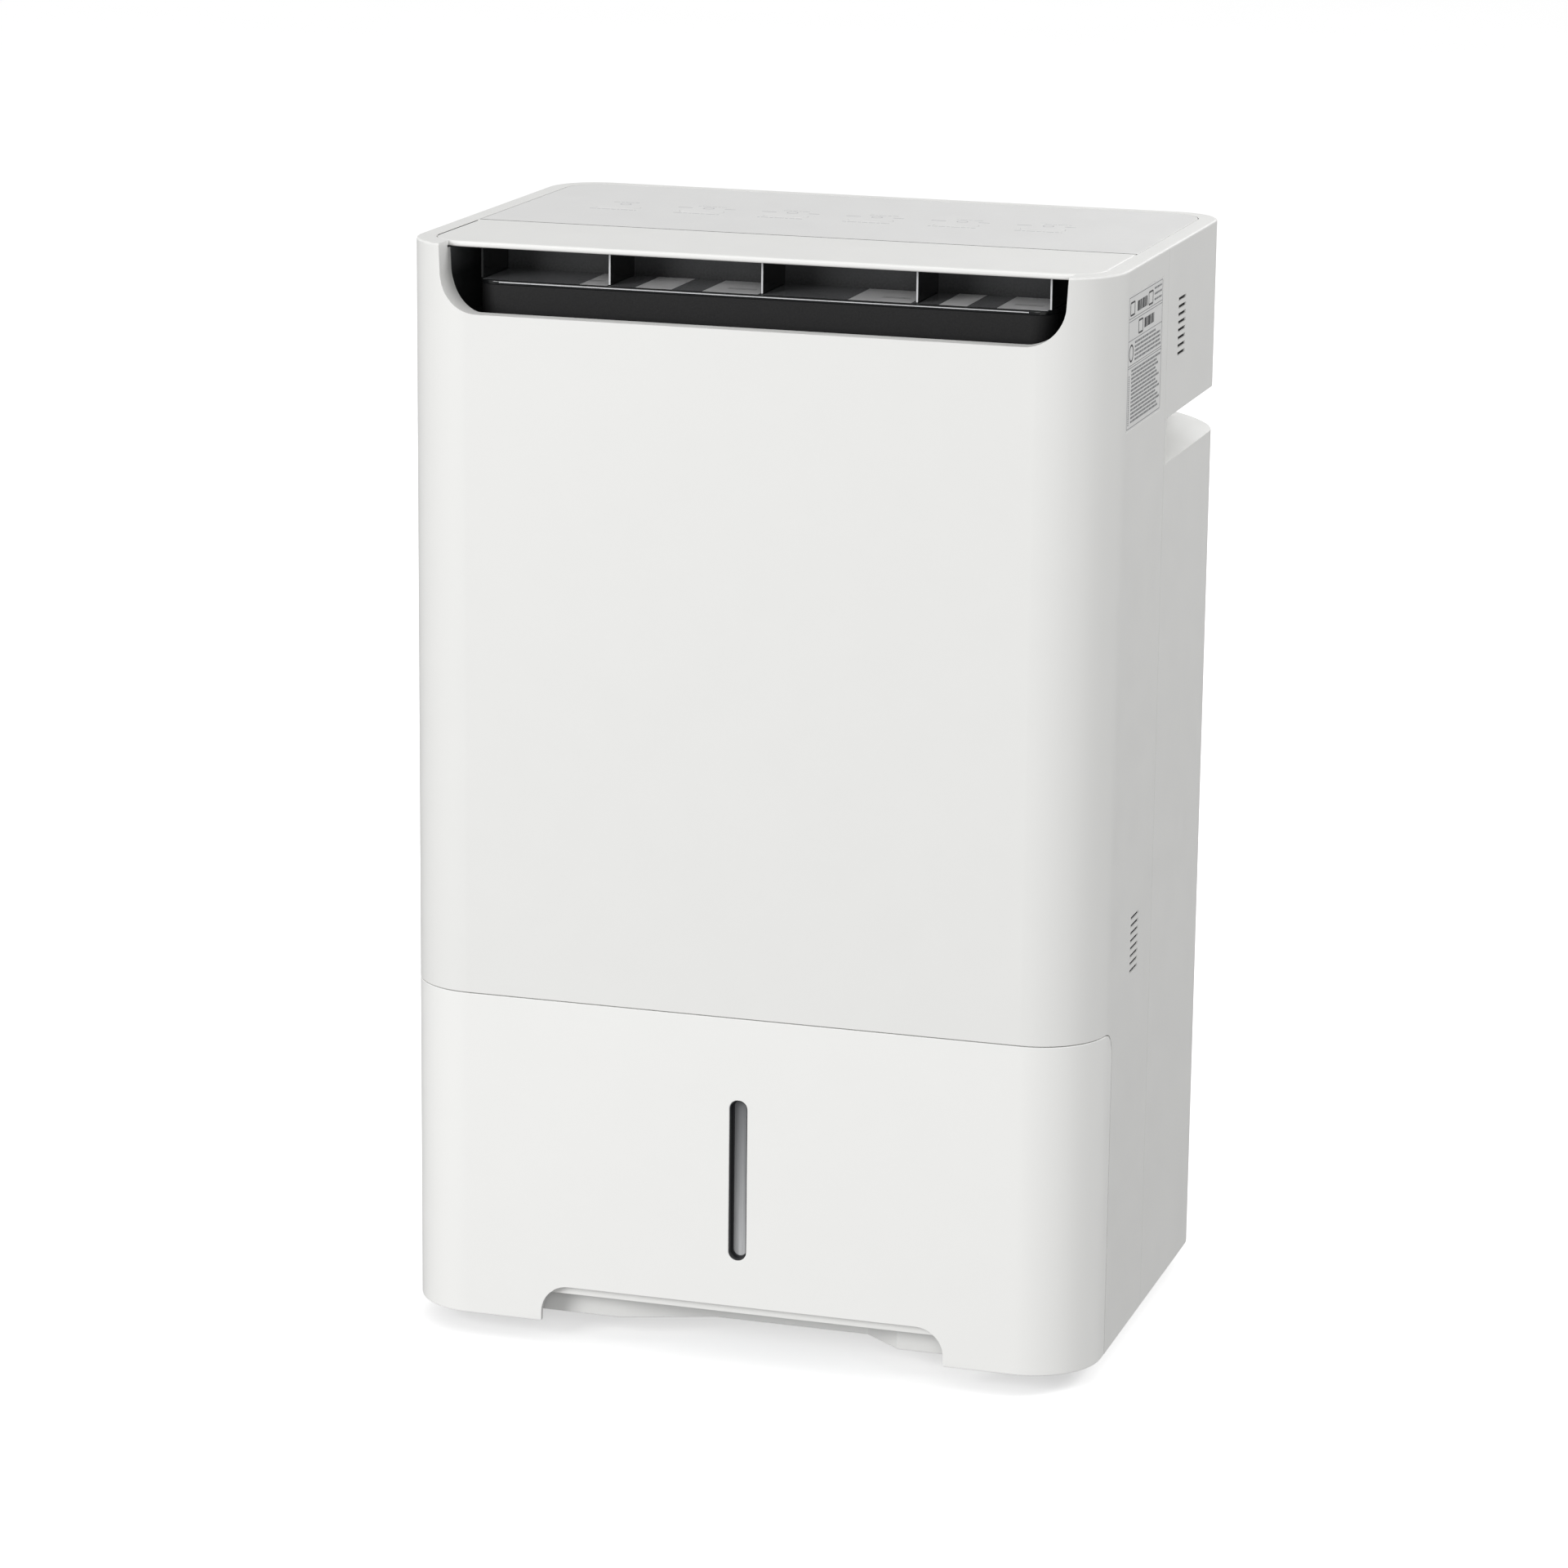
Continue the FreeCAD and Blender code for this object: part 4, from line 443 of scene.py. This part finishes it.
RIBS = ("louver_rib_left", "louver_rib_middle", "louver_rib_right")
TANK_WHITE = moulded("tank_white", srgb(241, 241, 239), 0.42, **SHELL_GRAIN)
softened("tank_cover", "tank_front", "tank", 0.45, finish=TANK_WHITE)
panel_top = softened("control_panel", "control_top", "chassis", 0.25, smooth=False)
softened("base_pan", "base_tray", "chassis", 0.5)
softened("louver_blade", "louver_glossy_blade", "louver", 0.3)
softened("louver_skirt", "louver_grained_skirt", "louver", 0.35)
for web in (*RIBS, "louver_end_left", "louver_end_right"):
    softened(web, web + "_web", "louver", 0.7, segments=3)


# ---- small marks, thin pieces, painted highlights, reflections and shade ---------------------
# Lengths in this section are in millimetres.

def ink(name, colour):
    """Printing ink, slightly uneven in tone."""
    f = Finish(name)
    patchy = f.noise(1.5, detail=3.0)
    f.colour(f.mix(f.span(patchy, 0.0, 1.0), scaled(colour, 0.9), scaled(colour, 1.12)))
    f.roughness(f.span(patchy, 0.40, 0.53))
    f.normal(f.bump(patchy, 0.003))
    return f.material


INK_DARK = ink("ink_dark", srgb(62, 63, 65))
INK_GREY = ink("ink_grey", srgb(128, 129, 131))
INK_PALE = ink("ink_pale", srgb(180, 180, 182))
FIELD_GRAIN = {"grain": 3.0, "depth": 0.003}
# Painted reflections on the glossy blade's top, in pale and grey fields.
BLADE_REFLECTION_PALE = moulded("painted_reflection_pale", srgb(244, 244, 245), 0.2, mottle=0.03, **FIELD_GRAIN)
BLADE_REFLECTION_GREY = moulded("painted_reflection_grey", srgb(112, 113, 115), 0.2, mottle=0.05, **FIELD_GRAIN)
# A pale strip colour: painted highlight on the louver's front edges.
EDGE_HIGHLIGHT_PALE = moulded("edge_painted_highlight", srgb(206, 207, 209), 0.25, grain=1.0, depth=0.003, mottle=0.03)
# A dark matte finish for sheets that stand for shade in gaps and slots: painted shade.
SHADE_BLACK = moulded(
    "painted_shade_black", srgb(22, 22, 23), 0.7, grain=0.5, depth=0.02, mottle=0.05, Specular_IOR_Level=0.2
)

CORNER_STEPS = 5
CIRCLE_STEPS = 24


def on_circle(x, y, radius, degrees):
    """The point of a circle at an angle."""
    turn = math.radians(degrees)
    return (x + radius * math.cos(turn), y + radius * math.sin(turn))


def rectangle(across, along, radius=0.0, steps=CORNER_STEPS):
    """The outline of a rectangle between two limits each way, with rounded corners if asked."""
    (x0, x1), (y0, y1) = across, along
    if not radius:
        return [(x0, y0), (x1, y0), (x1, y1), (x0, y1)]
    corners = (
        (x1 - radius, y0 + radius, -90),
        (x1 - radius, y1 - radius, 0),
        (x0 + radius, y1 - radius, 90),
        (x0 + radius, y0 + radius, 180),
    )
    return [
        on_circle(x, y, radius, start + 90.0 * step / steps)
        for x, y, start in corners
        for step in range(steps + 1)
    ]


def circle(x, y, radius):
    """The outline of a disc."""
    return [on_circle(x, y, radius, 360.0 * step / CIRCLE_STEPS) for step in range(CIRCLE_STEPS)]


def ring(x, y, outer, inner):
    """The two outlines of a ring, by their radii."""
    return circle(x, y, outer), circle(x, y, inner)


def border(across, along, line, radius):
    """A closed line of a given width just inside a rectangle with rounded corners."""
    inner = ((across[0] + line, across[1] - line), (along[0] + line, along[1] - line))
    return rectangle(across, along, radius), rectangle(*inner, radius - line)


def thin_shapes(name, slot_name, body, material, shapes, axis, low, high, *stands_for):
    """Thin closed plates along an axis. A shape is an outline, or an outer and an inner one."""
    place = {
        "x": lambda u, v, w: (w * MM, u * MM, v * MM),
        "y": lambda u, v, w: (u * MM, w * MM, v * MM),
        "z": lambda u, v, w: (u * MM, v * MM, w * MM),
    }[axis]
    bm = bmesh.new()
    for shape in shapes:
        loops = shape if isinstance(shape, tuple) else (shape,)
        rings = []
        for loop in loops:
            bottom = [bm.verts.new(place(u, v, low)) for u, v in loop]
            over = [bm.verts.new(place(u, v, high)) for u, v in loop]
            rings.append((bottom, over))
            for i in range(len(loop)):
                j = (i + 1) % len(loop)
                bm.faces.new((bottom[i], bottom[j], over[j], over[i]))
        if len(rings) == 1:
            bm.faces.new(rings[0][0])
            bm.faces.new(rings[0][1])
            continue
        for outer, inner in zip(*rings):
            for i in range(len(outer)):
                j = (i + 1) % len(outer)
                bm.faces.new((outer[i], outer[j], inner[j], inner[i]))
    bmesh.ops.recalc_face_normals(bm, faces=bm.faces)
    mesh = bpy.data.meshes.new(name)
    bm.to_mesh(mesh)
    bm.free()
    mesh.materials.append(material)
    return finished(mesh, name, slot_name, body, *stands_for)


def box_mm(name):
    """A CAD node's low and high corners in millimetres."""
    low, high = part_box(name)
    return low / MM, high / MM


WORDS = (3.4, 1.7, 4.6, 2.5, 1.2, 3.9, 2.1, 5.0, 1.5, 2.9)
LEAST_WORD = 0.8


def dashes(start, stop, along, tall, offset, space=0.7):
    """A broken rule whose pieces are of mixed lengths, begun at some place in their list."""
    shapes = []
    place = start
    index = offset
    while place < stop - LEAST_WORD:
        reach = min(place + WORDS[index % len(WORDS)], stop)
        shapes.append(rectangle((place, reach), (along - tall / 2, along + tall / 2)))
        place = reach + space
        index += 1
    return shapes


# The label's layout. Heights are shares of its own height, down from its head.
LABEL_CORNER = 1.5
LABEL_SUNK = 0.05
BORDER_INSET, BORDER_LINE, BORDER_CORNER = 0.9, 0.35, 1.0
RULE_HEIGHTS, RULE_INSET, RULE_HALF = (0.172, 0.192, 0.335, 0.520, 0.537), 1.2, 0.17
HEADINGS = ((19, 40, 0.105, 5.2, 2), (35, 56, 0.262, 5.0, 5))
HEADING_SPACE = 0.9
SIGNS = ((3.5, 0.155, 0.050), (43, 0.155, 0.050), (22, 0.318, 0.212))
SIGN_WIDTH, SIGN_LINE, SIGN_CORNER = 10, 0.9, 1.2
RING_PLACE, RING_HEIGHT, RING_OUTER, RING_INNER = 7.5, 0.430, 4.6, 3.6
TEXT_MARGIN = 3
SIDE_ROWS, SIDE_START, SIDE_TALL = (0.050, 0.092, 0.134), 56, 1.0
NOTE_ROWS, NOTE_HEIGHT, NOTE_PITCH, NOTE_START, NOTE_SHORT = 5, 0.365, 0.031, 15, 12
BODY_ROWS, BODY_HEIGHT, BODY_PITCH, BODY_START = 14, 0.565, 0.029, 9
TEXT_TALL = 1.1
RUNGS, RUNG_LOW, RUNG_HIGH, RUNG_PITCH, RUNG_SPAN = 24, 0.60, 0.592, 0.0155, (3, 5)


def make_label():
    """The information label: a film ruled into fields, with dashes in place of any wording."""
    low, high = box_mm("information_label")
    face = high.x
    start, stop = low.y, high.y
    foot, head = low.z, high.z
    tall = head - foot
    text_stop = stop - TEXT_MARGIN

    def level(share):
        return head - share * tall

    film = rectangle((start, stop), (foot, head), LABEL_CORNER)
    thin_shapes(
        "label_sheet", "label_film", "chassis", SLOTS["label_film"], [film],
        "x", face - 0.2, face - LABEL_SUNK, "information_label",
    )

    bold = []
    for left, right, share, height, offset in HEADINGS:
        bold += dashes(start + left, start + right, level(share), height, offset, HEADING_SPACE)
    for left, below, above in SIGNS:
        across = (start + left, start + left + SIGN_WIDTH)
        bold.append(border(across, (level(below), level(above)), SIGN_LINE, SIGN_CORNER))
    bold.append(ring(start + RING_PLACE, level(RING_HEIGHT), RING_OUTER, RING_INNER))
    thin_shapes(
        "label_signs", "label_film", "chassis", INK_DARK, bold, "x", face - 0.06, face - 0.01
    )

    edge = (start + BORDER_INSET, stop - BORDER_INSET), (foot + BORDER_INSET, head - BORDER_INSET)
    fine = [border(*edge, BORDER_LINE, BORDER_CORNER)]
    for share in RULE_HEIGHTS:
        across = (start + RULE_INSET, stop - RULE_INSET)
        fine.append(rectangle(across, (level(share) - RULE_HALF, level(share) + RULE_HALF)))
    for row, share in enumerate(SIDE_ROWS):
        fine += dashes(start + SIDE_START, text_stop, level(share), SIDE_TALL, row)
    for row in range(NOTE_ROWS):
        end = text_stop - (NOTE_SHORT if row == 0 else 0)
        height = level(NOTE_HEIGHT + NOTE_PITCH * row)
        fine += dashes(start + NOTE_START, end, height, TEXT_TALL, 3 * row)
    for row in range(BODY_ROWS):
        ragged = (row * 7) % 11
        height = level(BODY_HEIGHT + BODY_PITCH * row)
        fine += dashes(start + BODY_START, text_stop - ragged, height, TEXT_TALL, row)
    for row in range(RUNGS):
        across = (start + RUNG_SPAN[0], start + RUNG_SPAN[1])
        drop = RUNG_PITCH * row
        fine.append(rectangle(across, (level(RUNG_LOW + drop), level(RUNG_HIGH + drop))))
    thin_shapes(
        "label_rows", "label_film", "chassis", INK_GREY, fine, "x", face - 0.06, face - 0.01
    )


PRINT_THICKNESS = 0.03
KEYS = ("power", "mode", "laundry", "airflow", "louver", "timer")
CAPTION_HALF, CAPTION_GAP, CAPTION_TALL = 13, 3.2, 1.1
STATE_SPAN, STATE_RISE, STATE_TALL = (-9, 7), 13.0, 0.9
KEY_WORD_SPACE = 0.8
LAMP_RISE, LAMP_OUTER, LAMP_INNER = 6.0, 3.1, 2.5
BAR_SPANS, BAR_LOW, BAR_HIGH = ((-17, -9), (9, 15)), 5.2, 6.4


def make_key_marks():
    """Faint printed signs round the keys: a ring, short dashes and small plain bars.

    The panel's top is lowered by the ink's thickness, so that the ink ends level with the CAD.
    """
    top = box_mm("control_panel")[1].z
    for vertex in panel_top.data.vertices:
        if vertex.co.z > (top - 0.01) * MM:
            vertex.co.z -= PRINT_THICKNESS * MM
    shapes = []
    for index, key in enumerate(KEYS):
        low, high = box_mm(f"{key}_button")
        x = (low.x + high.x) / 2
        shapes += dashes(
            x - CAPTION_HALF, x + CAPTION_HALF, low.y - CAPTION_GAP, CAPTION_TALL,
            2 * index, KEY_WORD_SPACE,
        )
        shapes += dashes(
            x + STATE_SPAN[0] + index, x + STATE_SPAN[1] + index, high.y + STATE_RISE, STATE_TALL,
            index, KEY_WORD_SPACE,
        )
        shapes.append(ring(x, high.y + LAMP_RISE, LAMP_OUTER, LAMP_INNER))
        if index:
            for left, right in BAR_SPANS:
                along = (high.y + BAR_LOW, high.y + BAR_HIGH)
                shapes.append(rectangle((x + left, x + right), along))
    thin_shapes(
        "panel_signs", "panel_white", "chassis", INK_PALE, shapes,
        "z", top - PRINT_THICKNESS - 0.01, top - 0.002,
    )


# The pale fields of painted reflection in each bay, measured from the bay's left end.
PALE_REFLECTION_FIELDS = (
    ((53.0, 67.5),),
    ((13.5, 33.0), (49.5, 79.0)),
    ((45.0, 78.0),),
    ((11.0, 25.5), (41.0, 67.0)),
)
FIELD_FRONT, FIELD_REAR, FIELD_GAP = 1.6, 0.4, 0.1
FIELD_SUNK, FIELD_PROUD = 0.02, 0.015
BAY_RULES = ((13, 13.7), (15.6, 16.3))
BAY_RULE_SPAN = (21, 6)
BAY_RULE_THICKNESS = 0.03


def make_blade_reflections():
    """Painted reflections on the blade's glossy top between the ribs, as pale and grey fields, and
    short dark rules at each bay's end.
    """
    low, high = box_mm("louver_blade")
    near, far = low.y + FIELD_FRONT, high.y - FIELD_REAR
    walls = [box_mm(name) for name in ("louver_end_left", *RIBS, "louver_end_right")]
    pale, grey, rules = [], [], []
    for left_wall, right_wall, fields in zip(walls, walls[1:], PALE_REFLECTION_FIELDS):
        start, stop = left_wall[1].x + FIELD_GAP, right_wall[0].x - FIELD_GAP
        place = start
        for left, right in fields:
            if start + left > place + 2 * FIELD_GAP:
                grey.append(rectangle((place, start + left - FIELD_GAP), (near, far)))
            pale.append(rectangle((start + left, start + right), (near, far)))
            place = start + right + FIELD_GAP
        if stop > place + 2 * FIELD_GAP:
            grey.append(rectangle((place, stop), (near, far)))
        for below, above in BAY_RULES:
            across = (stop - BAY_RULE_SPAN[0], stop - BAY_RULE_SPAN[1])
            rules.append(rectangle(across, (near + below, near + above)))
    # The pale and grey fields are painted reflections on the blade's top.
    levels = (high.z - FIELD_SUNK, high.z + FIELD_PROUD)
    thin_shapes("painted_reflection_pale_fields", "black_gloss", "louver", BLADE_REFLECTION_PALE, pale, "z", *levels)
    thin_shapes("painted_reflection_grey_fields", "black_gloss", "louver", BLADE_REFLECTION_GREY, grey, "z", *levels)
    thin_shapes(
        "blade_rules", "black_gloss", "louver", INK_DARK, rules,
        "z", high.z, high.z + BAY_RULE_THICKNESS,
    )


WINDOW_GAP = 1.24
SLEEVE_WALL = 0.34
WINDOW_STEPS = 12
GASKET_BEFORE, GASKET_BEHIND = 0.9, 0.6
SLEEVE_SUNK = 0.5


def make_window_gasket_and_shade():
    """The dark gasket round the window's lens, and a dark sleeve that lines the cover's opening as
    painted shade on its walls.
    """
    low, high = box_mm("tank_window")
    front_face = box_mm("tank_cover")[0].y
    x, half = (low.x + high.x) / 2, (high.x - low.x) / 2

    def stadium(grow):
        across = (x - half - grow, x + half + grow)
        return rectangle(across, (low.z - grow, high.z + grow), half + grow, WINDOW_STEPS)

    material = SLOTS["small_black"]
    gasket = [(stadium(WINDOW_GAP), stadium(0.0))]
    thin_shapes(
        "window_gasket", "small_black", "tank", material, gasket,
        "y", low.y - GASKET_BEFORE, low.y + GASKET_BEHIND,
    )
    # The sleeve is painted shade: a black lining on the opening's walls, where they lie in shade.
    sleeve = [(stadium(WINDOW_GAP), stadium(WINDOW_GAP - SLEEVE_WALL))]
    thin_shapes(
        "window_painted_shade_sleeve", "small_black", "tank", material, sleeve,
        "y", front_face + SLEEVE_SUNK, low.y - GASKET_BEFORE,
    )


RIB_EDGE_HALF, RIB_EDGE_FOOT, RIB_EDGE_HEAD = 0.45, 0.3, 0.6
RIB_EDGE_PROUD, BLADE_EDGE_PROUD, EDGE_SUNK = 0.05, 0.04, 0.1
BLADE_EDGE_SHORT, BLADE_EDGE_LOW, BLADE_EDGE_HIGH = 13, 1.3, 0.85


def make_edge_highlights():
    """Pale strips on the front edges of the ribs, of the right end plate and of the blade: painted
    highlights where these edges catch the light.
    """
    blade_low, blade_high = box_mm("louver_blade")
    edges = []
    for name in (*RIBS, "louver_end_right"):
        low, high = box_mm(name)
        middle = (low.x + high.x) / 2
        across = (middle - RIB_EDGE_HALF, middle + RIB_EDGE_HALF)
        edges.append(rectangle(across, (low.z + RIB_EDGE_FOOT, high.z - RIB_EDGE_HEAD)))
    front = box_mm(RIBS[0])[0].y
    thin_shapes(
        "rib_edge_highlights", "black_gloss", "louver", EDGE_HIGHLIGHT_PALE, edges,
        "y", front - RIB_EDGE_PROUD, front + EDGE_SUNK,
    )
    reach = blade_high.x - BLADE_EDGE_SHORT
    along = (blade_high.z - BLADE_EDGE_LOW, blade_high.z - BLADE_EDGE_HIGH)
    thin_shapes(
        "blade_edge_highlight", "black_gloss", "louver", EDGE_HIGHLIGHT_PALE, [rectangle((-reach, reach), along)],
        "y", blade_low.y - BLADE_EDGE_PROUD, blade_low.y + EDGE_SUNK,
    )


# Sizes of the dark sheets that are painted shade in the gaps.
HINGE_SHADE_RADIUS, HINGE_SHADE_THICKNESS = 3.92, 0.06
HINGE_SHADE_START, HINGE_SHADE_STEP, HINGE_SHADE_POINTS = 49.0, 5.0, 9
PANEL_CORNER = 19.5
GAP_SHADE_INSIDE, GAP_SHADE_OUTSIDE = 0.02, 0.45
GAP_SHADE_LOW, GAP_SHADE_HIGH = 2.2, 0.25
BEND_STEP, BEND_POINTS = 9.0, 11
FLAP_SHADE_PLACE, FLAP_SHADE_HALF = 0.46, 0.02


def make_gap_shades():
    """Dark sheets down in the gaps round the top panel and beside the flap: painted shade in the
    gaps.
    """
    flap_low, flap_high = box_mm("louver_flap")
    panel_low, panel_high = box_mm("control_panel")
    pin_low, pin_high = box_mm("louver_pins")
    side, front, rear = panel_high.x, panel_low.y, panel_high.y
    levels = (panel_high.z - GAP_SHADE_LOW, panel_high.z - GAP_SHADE_HIGH)

    hinge = ((pin_low.y + pin_high.y) / 2, (pin_low.z + pin_high.z) / 2)
    arc = [HINGE_SHADE_START - HINGE_SHADE_STEP * step for step in range(HINGE_SHADE_POINTS)]
    inner, outer = HINGE_SHADE_RADIUS, HINGE_SHADE_RADIUS + HINGE_SHADE_THICKNESS
    curve = [on_circle(*hinge, inner, turn) for turn in arc]
    curve += [on_circle(*hinge, outer, turn) for turn in reversed(arc)]
    thin_shapes("hinge_painted_shade", "small_black", "chassis", SHADE_BLACK, [curve], "x", -side, side)

    def bend(x, start, grow):
        turns = [start + BEND_STEP * step for step in range(BEND_POINTS)]
        return [on_circle(x, rear - PANEL_CORNER, PANEL_CORNER + grow, turn) for turn in turns]

    right, left = side - PANEL_CORNER, -side + PANEL_CORNER
    outline = [(side + GAP_SHADE_OUTSIDE, front)]
    outline += bend(right, 0, GAP_SHADE_OUTSIDE) + bend(left, 90, GAP_SHADE_OUTSIDE)
    outline += [(-side - GAP_SHADE_OUTSIDE, front), (-side - GAP_SHADE_INSIDE, front)]
    outline += list(reversed(bend(right, 0, GAP_SHADE_INSIDE) + bend(left, 90, GAP_SHADE_INSIDE)))
    outline += [(side + GAP_SHADE_INSIDE, front)]
    thin_shapes("panel_painted_shade", "small_black", "chassis", SHADE_BLACK, [outline], "z", *levels)

    strips = []
    for place in (-side - FLAP_SHADE_PLACE, side + FLAP_SHADE_PLACE):
        across = (place - FLAP_SHADE_HALF, place + FLAP_SHADE_HALF)
        strips.append(rectangle(across, (flap_low.y + PANEL_CORNER, flap_high.y)))
    thin_shapes("flap_painted_shade", "small_black", "chassis", SHADE_BLACK, strips, "z", *levels)


# Each group's start behind the front face, and its lowest slot's height.
VENTS = ((151.9, 525.0), (80.7, 210.0))
VENT_SLOTS, VENT_PITCH = 8, 4.1
VENT_LENGTH, VENT_HEIGHT, VENT_CLEARANCE = 16.6, 1.8, 0.05
# How far inside each side face the black sheets of painted shade sit.
VENT_SHADE_OUTSIDE, VENT_SHADE_INSIDE = 0.7, 1.0


def make_vent_shade():
    """A black sheet just inside each vent slot: painted shade in the slots."""
    front = cad_box[0][1] / MM
    face = cad_box[1][0] / MM
    shapes = []
    for start, foot in VENTS:
        across = (front + start + VENT_CLEARANCE, front + start + VENT_LENGTH - VENT_CLEARANCE)
        for index in range(VENT_SLOTS):
            low = foot + index * VENT_PITCH
            along = (low + VENT_CLEARANCE, low + VENT_HEIGHT - VENT_CLEARANCE)
            shapes.append(rectangle(across, along))
    for hand, sign in (("right", 1), ("left", -1)):
        limits = sorted((sign * (face - VENT_SHADE_OUTSIDE), sign * (face - VENT_SHADE_INSIDE)))
        name = f"vent_painted_shade_{hand}"
        thin_shapes(name, "small_black", "chassis", SHADE_BLACK, shapes, "x", *limits)


make_label()
make_key_marks()
make_blade_reflections()
make_window_gasket_and_shade()
make_edge_highlights()
make_gap_shades()
make_vent_shade()


# ---- studio ----------------------------------------------------------------------------------

FLOOR_HALF, FLOOR_LEVEL, FLOOR_GLOW = 30.0, -0.0002, 0.45
WORLD_BELOW, WORLD_ABOVE, WORLD_BLEND = 0.24, 0.575, 0.25
# Each light's place, what it is aimed at, its size and its power.
SOFTBOXES = {
    "key_left": ((-2.2, -3.6, 1.6), (0, 0, 0.30), (1.8, 2.2), 105),
    "front_right": ((1.4, -4.2, 1.4), (0, 0, 0.30), (1.8, 2.2), 38),
    "side_high": ((3.2, 0.6, 2.9), (0, 0, 0.50), (1.6, 1.6), 58),
    "rear": ((0.5, 3.6, 2.0), (0, 0, 0.35), (2.0, 2.0), 20),
}


def make_floor():
    """A plain pale floor. The object's own light comes from the studio, and not off the floor."""
    span = (-FLOOR_HALF, FLOOR_HALF)
    corners = [(x, y, FLOOR_LEVEL) for x, y in rectangle(span, span)]
    mesh = bpy.data.meshes.new("studio_floor")
    mesh.from_pydata(corners, [], [(0, 1, 2, 3)])
    floor = bpy.data.objects.new("studio_floor", mesh)
    scene.collection.objects.link(floor)
    f = Finish("studio_floor")
    f.colour(f.mix(f.noise(400.0, detail=2.0), (0.90, 0.90, 0.90, 1), (0.93, 0.93, 0.93, 1)))
    f.set(
        Roughness=0.9, Emission_Color=(1, 1, 1, 1), Emission_Strength=FLOOR_GLOW,
        Specular_IOR_Level=0.1,
    )
    mesh.materials.append(f.material)
    floor.visible_diffuse = False
    floor.visible_glossy = False


def make_world():
    """An even white surround, of one strength above the horizon and another below it."""
    world = bpy.data.worlds.new("studio")
    world.use_nodes = True
    tree = world.node_tree
    background = tree.nodes["Background"]
    background.inputs["Color"].default_value = (1, 1, 1, 1)
    around = tree.nodes.new("ShaderNodeTexCoord")
    axes = tree.nodes.new("ShaderNodeSeparateXYZ")
    tree.links.new(around.outputs["Generated"], axes.inputs[0])
    blend = tree.nodes.new("ShaderNodeMapRange")
    blend.inputs["From Min"].default_value = -WORLD_BLEND
    blend.inputs["From Max"].default_value = WORLD_BLEND
    blend.inputs["To Min"].default_value = WORLD_BELOW
    blend.inputs["To Max"].default_value = WORLD_ABOVE
    tree.links.new(axes.outputs["Z"], blend.inputs["Value"])
    tree.links.new(blend.outputs["Result"], background.inputs["Strength"])
    scene.world = world


def softbox(name, place, aim, size, power):
    """An even rectangular light, turned towards a point."""
    light = bpy.data.lights.new(name, "AREA")
    light.shape = "RECTANGLE"
    light.size, light.size_y = size
    light.energy = power
    item = bpy.data.objects.new(name, light)
    item.location = place
    item.rotation_euler = (Vector(aim) - Vector(place)).to_track_quat("-Z", "Y").to_euler()
    scene.collection.objects.link(item)


make_floor()
make_world()
for name, (place, aim, size, power) in SOFTBOXES.items():
    softbox(name, place, aim, size, power)
scene.view_settings.view_transform = "Standard"


# ---- camera ----------------------------------------------------------------------------------

YAW, PITCH, ROLL = 0.29523, 0.24189, 0.01123
EYE = Vector((0.792243, -2.665761, 0.969615))
LENS, SENSOR = 122.143, 36.0


def camera_axes(yaw, pitch, roll):
    """The camera's own right, up and forward directions."""
    flat = math.cos(pitch)
    forward = Vector((-math.sin(yaw) * flat, math.cos(yaw) * flat, -math.sin(pitch)))
    right = Vector((math.cos(yaw), math.sin(yaw), 0.0))
    up = right.cross(forward)
    return (
        right * math.cos(roll) + up * math.sin(roll),
        up * math.cos(roll) - right * math.sin(roll),
        forward,
    )


right, up, forward = camera_axes(YAW, PITCH, ROLL)
camera = bpy.data.objects.new("camera", bpy.data.cameras.new("camera"))
camera.data.sensor_width = SENSOR
camera.data.lens = LENS
camera.matrix_world = Matrix(
    (
        (right.x, up.x, -forward.x, EYE.x),
        (right.y, up.y, -forward.y, EYE.y),
        (right.z, up.z, -forward.z, EYE.z),
        (0, 0, 0, 1),
    )
)
scene.collection.objects.link(camera)
scene.camera = camera
